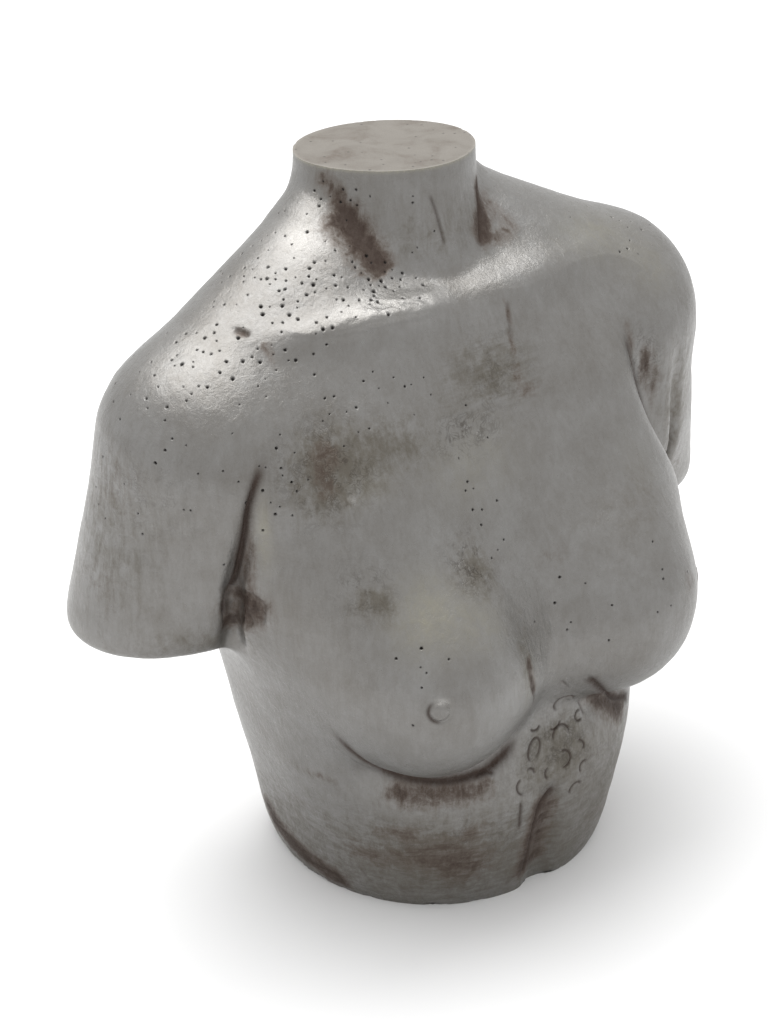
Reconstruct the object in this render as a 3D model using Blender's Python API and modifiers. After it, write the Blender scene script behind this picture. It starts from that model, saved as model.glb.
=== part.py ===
# Female bust cast from life: neck cut flat, arms cut above the elbow, flat underside.
# Metres, +Z up. Her left is +X and her front is -Y. The origin is on the underside.
#
# The body is one smooth form. A distance function describes it, built from trunk sections,
# capsules and ellipsoids that melt into each other. A block-out of primitives is voxel remeshed,
# its points are drawn onto that form, and planes then cut the neck and the underside.

import math

import bmesh
import bpy
import numpy as np
from mathutils import Matrix, Vector

OBJECT_NAME = "female_bust"
NODE_NAME = "torso_cast"

# Overall height, at the middle of the neck cut
HEIGHT = 0.4365

# Trunk sections: height, middle, half width, depth to the front, depth to the back, squareness
SECTIONS = (
    (0.000, 0.0030, 0.1080, 0.1085, 0.0810, 2.20),
    (0.054, 0.0005, 0.1122, 0.1185, 0.0855, 2.50),
    (0.108, 0.0000, 0.1265, 0.1160, 0.0873, 2.35),
    (0.162, 0.0000, 0.1399, 0.0837, 0.0939, 2.30),
    (0.216, 0.0000, 0.1611, 0.0765, 0.1013, 2.30),
    (0.270, 0.0000, 0.1593, 0.0711, 0.1024, 2.30),
    (0.324, 0.0000, 0.1238, 0.0540, 0.0896, 2.30),
    (0.378, 0.0000, 0.0799, 0.0351, 0.0617, 2.30),
)
TRUNK_TOP = 0.369
TRUNK_TOP_SOFT = 0.027

# Neck: a turned oval column, cut by a plane that leans back and to one side
NECK_TOP_X = 0.0023
NECK_TOP_Y = 0.0418
NECK_LOW_Y = 0.0351
NECK_LOW_Z = 0.342
NECK_TURN = math.radians(-13.0)
NECK_HALF_WIDE = 0.0536
NECK_HALF_DEEP = 0.0500
NECK_CUT_LEAN = 0.053
NECK_CUT_SIDE = 0.016
NECK_SOFT = 0.0324

# Throat: narrows from the cut down to the notch between the clavicles
THROAT_LOW = (0.0, -0.009, 0.3348)
THROAT_LOW_RADIUS = 0.0216
THROAT_INSET = 0.002
THROAT_SOFT = 0.0108

# Shoulder girdle and arms, her right first and her left second
GIRDLE_INNER = (0.0405, 0.0365, 0.3717)
GIRDLE_RADIUS = 0.0473
GIRDLE_SOFT = 0.045
SHOULDERS = ((-0.1363, 0.018, 0.2957), (0.1392, 0.0175, 0.3040))
SHOULDER_RADIUS = 0.065
ELBOWS = ((-0.1787, 0.0405, 0.153), (0.1811, 0.0333, 0.153))
ELBOW_RADIUS = 0.0509
ARM_ENDS = (0.1800, 0.1725)
ARM_END_ROUND = 0.026
ARM_SOFT = 0.0162

# Breasts: an ellipsoid, a slope up to the chest and a tail towards the armpit, with the
# breastbone filled out between them
BREASTS = ((-0.0662, -0.0851, 0.1683), (0.0676, -0.0837, 0.1778))
BREAST_RADII = (0.054, 0.0634, 0.0617)
SLOPE_TOP = (0.081, -0.036, 0.2835)
SLOPE_LIFT = (0.0, 0.0108, 0.0108)
SLOPE_RADII = (0.045, 0.0288)
TAIL_CENTRE = (0.0936, -0.045, 0.1998)
TAIL_RADII = (0.0414, 0.0414, 0.0558)
BREAST_SOFT = 0.054
CLEAVAGE_SOFT = 0.0216
STERNUM_TOP = (0.0, -0.002, 0.300)
STERNUM_LOW = (0.002, -0.078, 0.165)
STERNUM_RADIUS = 0.034
STERNUM_SOFT = 0.085
MIDDLE_ENDS = (0.015, 0.045)
MIDDLE_SHARE = 0.3
FOLD_SOFT = 0.0126
CHEST_SOFT = 0.1026
FOLD_BELOW = 0.027
CHEST_ABOVE = 0.072
FOLD_ENDS = (0.085, 0.125)
FOLD_END_SHARE = 0.4

# Soft ridges and hollows along paths: points, how far they rise or sink, and how wide they are
CLAVICLE = ((0.0144, -0.0333, 0.3654), (0.063, -0.0342, 0.3663), (0.1035, -0.0216, 0.3645),
            (0.135, 0.0036, 0.3582))
CLAVICLE_RISE = (0.0027, 0.004, 0.004, 0.0)
CLAVICLE_WIDE = 0.0099
NECK_HOLLOW = ((0.0504, 0.0252, 0.423), (0.0432, 0.009, 0.4014), (0.036, -0.0036, 0.3816))
NECK_HOLLOW_SINK = (0.0027, 0.0072, 0.0010)
NECK_HOLLOW_WIDE = 0.0144
ARMPIT = ((0.1485, -0.0504, 0.3132), (0.1566, -0.0468, 0.270), (0.1602, -0.036, 0.2322),
          (0.1539, -0.0234, 0.189))
ARMPIT_SINK = (0.0, 0.0036, 0.0072, 0.0108)
ARMPIT_WIDE = 0.0063
LEFT_CREASE = ((0.1100, -0.0520, 0.3250), (0.1215, -0.0580, 0.2900), (0.1270, -0.0590, 0.2640),
               (0.1350, -0.0560, 0.2400), (0.1450, -0.0450, 0.2050))
LEFT_CREASE_SINK = (0.0010, 0.0120, 0.0165, 0.0140, 0.0060)
LEFT_CREASE_WIDE = 0.0150
BELLY_GROOVE = ((0.0060, -0.1060, -0.009), (0.0060, -0.1150, 0.036), (0.0050, -0.1230, 0.0770))
BELLY_GROOVE_SINK = (0.0075, 0.0095, 0.0010)
BELLY_GROOVE_WIDE = 0.0095
SPINE = ((0.0, 0.0828, 0.0), (0.0, 0.0891, 0.108), (0.0, 0.1035, 0.216), (0.0, 0.1008, 0.306))
SPINE_SINK = (0.0036, 0.0045, 0.0045, 0.0009)
SPINE_WIDE = 0.018

# The underside's edge is trimmed to a cone: its middle, its radius at the underside and its flare
TRIM_MIDDLE = (0.003, -0.008)
TRIM_RADIUS = 0.1040
TRIM_FLARE = 0.45
TRIM_SOFT = 0.006

# Mesh: voxel size of the block-out, rounds of smoothing and triangles kept
VOXEL = 0.005
SMOOTH_ROUNDS = 6
TRIANGLES = 9200
TRUNK_RINGS = 24
OVERRUN = 0.027

# Drawing a point onto the form: the least squared slope counted on and the longest step
LEAST_SLOPE = 0.05
LONGEST_STEP = 0.010

# Silver paint over the cast, as the photograph shows it
COLOUR = (0.26, 0.25, 0.24, 1.0)
ROUGHNESS = 0.45
METALLIC = 0.7

STATION_Z, MIDDLE_X, HALF_WIDTH, FRONT_DEPTH, BACK_DEPTH, SQUARENESS = np.array(SECTIONS).T


def soft_min(a, b, width):
    """The lesser of two distances, rounded where they differ by less than width."""
    near = np.maximum(width - np.abs(a - b), 0) / width
    return np.minimum(a, b) - near ** 3 * width / 6


def soft_max(a, b, width):
    return -soft_min(-a, -b, width)


def ease(low, high, value):
    """0 below low, 1 above high, and a smooth rise between."""
    t = np.clip((value - low) / (high - low), 0, 1)
    return t ** 3 * (t * (6 * t - 15) + 10)


def spline(z, heights, sizes):
    """Natural cubic spline through the sizes at the given heights."""
    gaps = np.diff(heights)
    count = len(heights)
    rows = np.eye(count)
    right = np.zeros(count)
    for i in range(1, count - 1):
        rows[i, i - 1:i + 2] = gaps[i - 1], 2 * (gaps[i - 1] + gaps[i]), gaps[i]
        right[i] = 6 * ((sizes[i + 1] - sizes[i]) / gaps[i] - (sizes[i] - sizes[i - 1]) / gaps[i - 1])
    bend = np.linalg.solve(rows, right)
    z = np.clip(z, heights[0] - OVERRUN, heights[-1] + OVERRUN)
    i = np.clip(np.searchsorted(heights, z) - 1, 0, count - 2)
    up = z - heights[i]
    down = heights[i + 1] - z
    curved = (bend[i] * down ** 3 + bend[i + 1] * up ** 3) / (6 * gaps[i])
    low_part = (sizes[i] / gaps[i] - bend[i] * gaps[i] / 6) * down
    high_part = (sizes[i + 1] / gaps[i] - bend[i + 1] * gaps[i] / 6) * up
    return curved + low_part + high_part


def place_on(points, start, end):
    """Share of the way from start to end, and distance to that stretch."""
    start = np.array(start)
    run = np.array(end) - start
    share = np.clip(((points - start) @ run) / (run @ run), 0, 1)
    distance = np.linalg.norm(points - (start + share[:, None] * run), axis=1)
    return share, distance


def capsule(points, start, end, start_radius, end_radius):
    share, distance = place_on(points, start, end)
    return distance - (start_radius + (end_radius - start_radius) * share)


def ellipsoid(points, centre, radii):
    offset = points - np.array(centre)
    radii = np.array(radii)
    scaled = np.linalg.norm(offset / radii, axis=1) + 1e-9
    slope = np.linalg.norm(offset / radii ** 2, axis=1) + 1e-9
    return scaled * (scaled - 1) / slope


def ridge(points, path, rises, wide):
    """Bells strung along a path, one width apart: their sum is a smooth rise along it."""
    path = np.array(path)
    reached = np.concatenate([[0], np.cumsum(np.linalg.norm(np.diff(path, axis=0), axis=1))])
    along = np.linspace(0, reached[-1], 2 + int(reached[-1] / wide))
    places = np.stack([np.interp(along, reached, column) for column in path.T], axis=1)
    heights = np.interp(along, reached, rises) * along[1] / (wide * math.sqrt(math.pi))
    gaps = (points ** 2).sum(axis=1)[:, None] + (places ** 2).sum(axis=1) - 2 * points @ places.T
    return np.exp(-gaps / wide ** 2) @ heights


def neck_top():
    return np.array((NECK_TOP_X, NECK_TOP_Y, HEIGHT))


def trunk(points):
    """Superellipse sections, rounder and a little to her left at the underside."""
    x, y, z = points.T
    x = x - spline(z, STATION_Z, MIDDLE_X)
    half_width = spline(z, STATION_Z, HALF_WIDTH)
    depth = np.where(y < 0, spline(z, STATION_Z, FRONT_DEPTH), spline(z, STATION_Z, BACK_DEPTH))
    power = spline(z, STATION_Z, SQUARENESS)
    scaled = (np.abs(x / half_width) ** power + np.abs(y / depth) ** power) ** (1 / power) + 1e-9
    return np.hypot(x, y) * (1 - 1 / scaled)


def neck(points):
    """An upright oval column, turned about its own axis."""
    x, y, z = points.T
    up = (z - NECK_LOW_Z) / (HEIGHT - NECK_LOW_Z)
    across = x - NECK_TOP_X
    along = y - (NECK_LOW_Y + (NECK_TOP_Y - NECK_LOW_Y) * up)
    wide = (across * math.cos(NECK_TURN) + along * math.sin(NECK_TURN)) / NECK_HALF_WIDE
    deep = (along * math.cos(NECK_TURN) - across * math.sin(NECK_TURN)) / NECK_HALF_DEEP
    return (np.hypot(wide, deep) - 1) * NECK_HALF_WIDE


def throat_top():
    return (NECK_TOP_X, NECK_TOP_Y, HEIGHT + OVERRUN)


def throat(points):
    return capsule(points, THROAT_LOW, throat_top(), THROAT_LOW_RADIUS, NECK_HALF_DEEP - THROAT_INSET)


def on_side(side, place):
    """A place of the left side, or its mirror place for the right side."""
    return (side * place[0], place[1], place[2])


def slope_ends(centre, side):
    """Both ends of the slope from a breast up to the chest."""
    low = tuple(np.array(centre) + np.array(SLOPE_LIFT))
    return low, on_side(side, SLOPE_TOP)


def breast(points, centre, side):
    round_part = ellipsoid(points, centre, BREAST_RADII)
    low, high = slope_ends(centre, side)
    slope = capsule(points, low, high, *SLOPE_RADII)
    tail = ellipsoid(points, on_side(side, TAIL_CENTRE), TAIL_RADII)
    return soft_min(soft_min(round_part, slope, BREAST_SOFT), tail, BREAST_SOFT)


def trim(points):
    """Distance to an upright cone that widens from the underside."""
    x, y, z = points.T
    out = np.hypot(x - TRIM_MIDDLE[0], y - TRIM_MIDDLE[1]) - TRIM_RADIUS - TRIM_FLARE * z
    return out / math.hypot(1, TRIM_FLARE)


def body(points):
    """Distance to the whole form, before the neck and the underside are cut."""
    z = points[:, 2]
    mirrored = np.abs(points) * (1, 0, 0) + points * (0, 1, 1)
    form = soft_max(trunk(points), trim(points), TRIM_SOFT)
    form = soft_max(form, z - TRUNK_TOP, TRUNK_TOP_SOFT)
    for side, shoulder in zip((-1, 1), SHOULDERS):
        girdle = capsule(points, on_side(side, GIRDLE_INNER), shoulder, GIRDLE_RADIUS, SHOULDER_RADIUS)
        form = soft_min(form, girdle, GIRDLE_SOFT)
    for shoulder, elbow, end in zip(SHOULDERS, ELBOWS, ARM_ENDS):
        arm = capsule(points, shoulder, elbow, SHOULDER_RADIUS, ELBOW_RADIUS)
        form = soft_min(form, soft_max(arm, end - z, ARM_END_ROUND), ARM_SOFT)
    both = soft_min(breast(points, BREASTS[0], -1), breast(points, BREASTS[1], 1), CLEAVAGE_SOFT)
    sternum = capsule(points, STERNUM_TOP, STERNUM_LOW, STERNUM_RADIUS, STERNUM_RADIUS)
    both = soft_min(both, sternum, STERNUM_SOFT)
    level = (BREASTS[0][2] + BREASTS[1][2]) / 2
    above = ease(level - FOLD_BELOW, level + CHEST_ABOVE, z)
    beside = FOLD_END_SHARE * ease(*FOLD_ENDS, np.abs(points[:, 0]))
    middle = MIDDLE_SHARE * (1 - ease(*MIDDLE_ENDS, np.abs(points[:, 0])))
    melt = 1 - (1 - above) * (1 - beside) * (1 - middle)
    form = soft_min(form, both, FOLD_SOFT + (CHEST_SOFT - FOLD_SOFT) * melt)
    form = soft_min(form, neck(points), NECK_SOFT)
    for side in (-1, 1):
        path = [on_side(side, place) for place in CLAVICLE]
        form = form - ridge(points, path, CLAVICLE_RISE, CLAVICLE_WIDE)
    form = form + ridge(mirrored, NECK_HOLLOW, NECK_HOLLOW_SINK, NECK_HOLLOW_WIDE)
    form = soft_min(form, throat(points), THROAT_SOFT)
    form = form + ridge(mirrored, ARMPIT, ARMPIT_SINK, ARMPIT_WIDE)
    form = form + ridge(points, LEFT_CREASE, LEFT_CREASE_SINK, LEFT_CREASE_WIDE)
    form = form + ridge(points, BELLY_GROOVE, BELLY_GROOVE_SINK, BELLY_GROOVE_WIDE)
    return form + ridge(points, SPINE, SPINE_SINK, SPINE_WIDE)


def slope_of(points, reach=0.0004):
    """Gradient of the form by central differences."""
    steps = np.eye(3) * reach
    return np.stack([(body(points + step) - body(points - step)) / (2 * reach) for step in steps], axis=1)


def draw_onto_form(points, rounds=4):
    """Walks the points down the gradient until they lie on the form."""
    for _ in range(rounds):
        gradient = slope_of(points)
        steep = np.maximum((gradient ** 2).sum(axis=1), LEAST_SLOPE)
        move = -body(points)[:, None] * gradient / steep[:, None]
        length = np.linalg.norm(move, axis=1)
        points = points + move * np.minimum(1, LONGEST_STEP / np.maximum(length, 1e-9))[:, None]
    return points


def relaxed(points, edges):
    """Each point half way to the middle of its neighbours, kept in the form's surface."""
    total = np.zeros_like(points)
    count = np.zeros(len(points))
    for near, far in (edges.T, edges.T[::-1]):
        np.add.at(total, near, points[far])
        np.add.at(count, near, 1)
    move = 0.5 * (total / count[:, None] - points)
    normal = slope_of(points)
    normal = normal / np.maximum(np.linalg.norm(normal, axis=1), 1e-6)[:, None]
    return points + move - normal * (move * normal).sum(axis=1)[:, None]


def clear_scene():
    for old in list(bpy.data.objects):
        bpy.data.objects.remove(old, do_unlink=True)


def make_collection(name):
    made = bpy.data.collections.new(name)
    bpy.context.scene.collection.children.link(made)
    return made


def make_material():
    material = bpy.data.materials.new("silver_paint")
    material.use_nodes = True
    shader = material.node_tree.nodes["Principled BSDF"]
    shader.inputs["Base Color"].default_value = COLOUR
    shader.inputs["Roughness"].default_value = ROUGHNESS
    shader.inputs["Metallic"].default_value = METALLIC
    material.diffuse_color = COLOUR
    return material


def add_ball(work, centre, radii):
    scale = Matrix.Diagonal((*radii, 1.0))
    bmesh.ops.create_uvsphere(work, u_segments=48, v_segments=24, radius=1.0,
                              matrix=Matrix.Translation(centre) @ scale)


def add_capsule(work, start, end, start_radius, end_radius):
    """Two balls and the cone between them."""
    start = Vector(start)
    end = Vector(end)
    turn = (end - start).to_track_quat("Z", "Y").to_matrix().to_4x4()
    bmesh.ops.create_cone(work, cap_ends=True, segments=48, radius1=start_radius, radius2=end_radius,
                          depth=(end - start).length,
                          matrix=Matrix.Translation((start + end) / 2) @ turn)
    add_ball(work, start, (start_radius,) * 3)
    add_ball(work, end, (end_radius,) * 3)


def add_trunk(work):
    """A cylinder with a ring at each section, each ring stretched to its oval."""
    low = -OVERRUN
    made = bmesh.ops.create_cone(work, cap_ends=True, segments=64, radius1=1.0, radius2=1.0,
                                 depth=TRUNK_TOP - low,
                                 matrix=Matrix.Translation((0, 0, (TRUNK_TOP + low) / 2)))
    for ring in range(1, TRUNK_RINGS):
        height = low + (TRUNK_TOP - low) * ring / TRUNK_RINGS
        members = {face for vert in made["verts"] for face in vert.link_faces}
        parts = members | {edge for face in members for edge in face.edges} | set(made["verts"])
        cut = bmesh.ops.bisect_plane(work, geom=list(parts), plane_co=(0, 0, height), plane_no=(0, 0, 1))
        made["verts"] += [part for part in cut["geom_cut"] if isinstance(part, bmesh.types.BMVert)]
    for vert in made["verts"]:
        z = np.array([vert.co.z])
        depths = FRONT_DEPTH if vert.co.y < 0 else BACK_DEPTH
        vert.co.x *= float(spline(z, STATION_Z, HALF_WIDTH)[0])
        vert.co.y *= float(spline(z, STATION_Z, depths)[0])


def make_blockout(helpers):
    """Trunk, neck, throat, girdle, arms and breasts as plain primitives, fused into one skin."""
    work = bmesh.new()
    add_trunk(work)
    neck_low = Vector((0.0, NECK_LOW_Y, NECK_LOW_Z))
    neck_high = Vector((NECK_TOP_X, NECK_TOP_Y, HEIGHT + OVERRUN))
    add_capsule(work, neck_low, neck_high, NECK_HALF_WIDE, NECK_HALF_WIDE)
    add_capsule(work, THROAT_LOW, throat_top(), THROAT_LOW_RADIUS, NECK_HALF_DEEP - THROAT_INSET)
    for side, shoulder, elbow, end in zip((-1, 1), SHOULDERS, ELBOWS, ARM_ENDS):
        add_capsule(work, on_side(side, GIRDLE_INNER), shoulder, GIRDLE_RADIUS, SHOULDER_RADIUS)
        share = (shoulder[2] - end - ELBOW_RADIUS / 2) / (shoulder[2] - elbow[2])
        wrist = Vector(shoulder).lerp(Vector(elbow), share)
        add_capsule(work, shoulder, wrist, SHOULDER_RADIUS, ELBOW_RADIUS)
    for side, centre in zip((-1, 1), BREASTS):
        low, high = slope_ends(centre, side)
        add_ball(work, centre, BREAST_RADII)
        add_capsule(work, low, high, *SLOPE_RADII)
        add_ball(work, on_side(side, TAIL_CENTRE), TAIL_RADII)
    mesh = bpy.data.meshes.new("blockout")
    work.to_mesh(mesh)
    work.free()
    blockout = bpy.data.objects.new("blockout", mesh)
    helpers.objects.link(blockout)
    blockout.hide_render = True
    blockout.display_type = "WIRE"
    remesh = blockout.modifiers.new("fuse", "REMESH")
    remesh.mode = "VOXEL"
    remesh.voxel_size = VOXEL
    return blockout


def evaluated_mesh(source):
    """The mesh that the object's modifiers make."""
    bpy.context.view_layer.update()
    graph = bpy.context.evaluated_depsgraph_get()
    return bpy.data.meshes.new_from_object(source.evaluated_get(graph))


def mesh_points(mesh):
    flat = np.empty(len(mesh.vertices) * 3)
    mesh.vertices.foreach_get("co", flat)
    return flat.reshape(-1, 3)


def set_points(mesh, points):
    mesh.vertices.foreach_set("co", points.astype(np.float32).ravel())
    mesh.update()


def mesh_edges(mesh):
    flat = np.empty(len(mesh.edges) * 2, dtype=np.int32)
    mesh.edges.foreach_get("vertices", flat)
    return flat.reshape(-1, 2)


def fit_to_form(mesh, rounds):
    """Draws the points onto the form and evens them out along it."""
    points = draw_onto_form(mesh_points(mesh))
    edges = mesh_edges(mesh)
    for _ in range(rounds):
        points = draw_onto_form(relaxed(points, edges), rounds=1)
    set_points(mesh, draw_onto_form(points))


def slice_off(work, point, facing):
    """Cuts away what lies on the facing side of a plane and closes the cut with a flat face."""
    everything = list(work.verts) + list(work.edges) + list(work.faces)
    cut = bmesh.ops.bisect_plane(work, geom=everything, dist=1e-6, plane_co=point, plane_no=facing,
                                 clear_outer=True)
    rim = [part for part in cut["geom_cut"] if isinstance(part, bmesh.types.BMEdge)]
    bmesh.ops.holes_fill(work, edges=rim, sides=0)


def make_torso(parts, helpers, material):
    fused = evaluated_mesh(make_blockout(helpers))
    fit_to_form(fused, SMOOTH_ROUNDS)
    torso = bpy.data.objects.new(NODE_NAME, fused)
    parts.objects.link(torso)
    fewer = torso.modifiers.new("fewer", "DECIMATE")
    fewer.ratio = TRIANGLES / sum(len(face.vertices) - 2 for face in fused.polygons)
    light = evaluated_mesh(torso)
    torso.modifiers.remove(fewer)
    fit_to_form(light, rounds=0)
    work = bmesh.new()
    work.from_mesh(light)
    slice_off(work, neck_top(), (NECK_CUT_SIDE, NECK_CUT_LEAN, 1.0))
    slice_off(work, (0, 0, 0), (0, 0, -1))
    bmesh.ops.dissolve_degenerate(work, dist=0.0004, edges=list(work.edges))
    bmesh.ops.triangulate(work, faces=[face for face in work.faces if len(face.verts) > 3])
    bmesh.ops.recalc_face_normals(work, faces=list(work.faces))
    work.to_mesh(light)
    work.free()
    light.shade_smooth()
    light.set_sharp_from_angle(angle=math.radians(40))
    light.materials.clear()
    light.materials.append(material)
    torso.data = light
    return torso


clear_scene()
part_collection = make_collection(OBJECT_NAME)
helper_collection = make_collection("helpers")
torso_cast = make_torso(part_collection, helper_collection, make_material())
print(NODE_NAME, "has", len(torso_cast.data.polygons), "faces")
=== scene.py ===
import math

import bmesh
import bpy
import numpy as np
from mathutils import Matrix, Vector


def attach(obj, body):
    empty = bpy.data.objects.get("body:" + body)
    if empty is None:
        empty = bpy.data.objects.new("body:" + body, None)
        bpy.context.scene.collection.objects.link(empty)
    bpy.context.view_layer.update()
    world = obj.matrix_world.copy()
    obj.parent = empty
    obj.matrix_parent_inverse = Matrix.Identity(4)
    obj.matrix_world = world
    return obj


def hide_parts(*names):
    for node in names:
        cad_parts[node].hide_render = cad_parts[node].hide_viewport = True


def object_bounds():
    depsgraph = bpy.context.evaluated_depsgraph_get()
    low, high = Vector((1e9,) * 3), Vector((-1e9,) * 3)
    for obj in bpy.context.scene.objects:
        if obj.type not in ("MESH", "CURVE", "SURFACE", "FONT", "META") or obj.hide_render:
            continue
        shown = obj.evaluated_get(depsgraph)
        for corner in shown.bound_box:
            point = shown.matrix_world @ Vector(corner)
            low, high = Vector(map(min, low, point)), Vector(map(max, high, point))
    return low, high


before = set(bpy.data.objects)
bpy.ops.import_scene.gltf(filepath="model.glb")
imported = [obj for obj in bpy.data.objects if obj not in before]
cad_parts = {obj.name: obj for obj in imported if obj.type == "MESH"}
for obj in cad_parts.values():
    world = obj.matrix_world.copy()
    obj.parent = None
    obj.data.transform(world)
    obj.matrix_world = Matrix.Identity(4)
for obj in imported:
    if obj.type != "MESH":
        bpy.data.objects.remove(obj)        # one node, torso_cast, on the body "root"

cadBox = [list(corner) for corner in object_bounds()]
print("stage 1: frame loaded,", len(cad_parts), "node")

# The room: a pale floor, white air all round and one large soft light overhead

studio = {
    "cameraAt": (-0.7965, -1.0753, 0.9276),
    "cameraTo": (-0.0302, 0.0, 0.2237),
    "cameraRoll": -0.559,            # degrees
    "lens": 87.75,                   # mm
    "film": 36.0,                    # mm, the long side
    "airColour": (1.0, 1.0, 1.0),
    "airStrength": 1.0,
    "topLight": {"at": (0.0, 0.45, 1.75), "to": (0.0, 0.0, 0.25), "size": (2.0, 1.7), "power": 39.5},
    "floorSize": 4.0,
    "floorColour": (0.8, 0.8, 0.8),
    "floorRoughness": 0.9,
}


def addObject(name, data):
    made = bpy.data.objects.new(name, data)
    bpy.context.scene.collection.objects.link(made)
    return made


# Placed at one point and looking at another
def lookingFrom(at, to):
    at = Vector(at)
    return Matrix.Translation(at) @ (Vector(to) - at).to_track_quat("-Z", "Y").to_matrix().to_4x4()


def makeCamera(values):
    lens = bpy.data.cameras.new("photoLens")
    lens.lens = values["lens"]
    lens.sensor_width = values["film"]
    lens.clip_start = 0.05
    camera = addObject("photoCamera", lens)
    roll = Matrix.Rotation(math.radians(values["cameraRoll"]), 4, "Z")
    camera.matrix_world = lookingFrom(values["cameraAt"], values["cameraTo"]) @ roll
    bpy.context.scene.camera = camera


def makeTopLight(values):
    lamp = bpy.data.lights.new("topLight", "AREA")
    lamp.shape = "RECTANGLE"
    lamp.size, lamp.size_y = values["size"]
    lamp.energy = values["power"]
    addObject("topLight", lamp).matrix_world = lookingFrom(values["at"], values["to"])


def makeAir(values):
    world = bpy.data.worlds.new("whiteAir")
    world.use_nodes = True
    backdrop = world.node_tree.nodes["Background"]
    backdrop.inputs["Color"].default_value = (*values["airColour"], 1)
    backdrop.inputs["Strength"].default_value = values["airStrength"]
    bpy.context.scene.world = world


def makeFloor(values):
    reach = values["floorSize"]
    mesh = bpy.data.meshes.new("floor")
    corners = [(x * reach, y * reach, 0) for x, y in ((-1, -1), (1, -1), (1, 1), (-1, 1))]
    mesh.from_pydata(corners, [], [(0, 1, 2, 3)])
    paint = bpy.data.materials.new("paleFloor")
    paint.use_nodes = True
    sockets = paint.node_tree.nodes["Principled BSDF"].inputs
    sockets["Base Color"].default_value = (*values["floorColour"], 1)
    sockets["Roughness"].default_value = values["floorRoughness"]
    sockets["Specular IOR Level"].default_value = 0.0
    mesh.materials.append(paint)
    addObject("floor", mesh)


bpy.context.scene.view_settings.view_transform = "Standard"
makeCamera(studio)
makeTopLight(studio["topLight"])
makeAir(studio)
makeFloor(studio)
print("stage 2: camera, light and floor")

# The cast's form is worked out as the solid's is, so fine points can be drawn onto it anywhere

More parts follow.
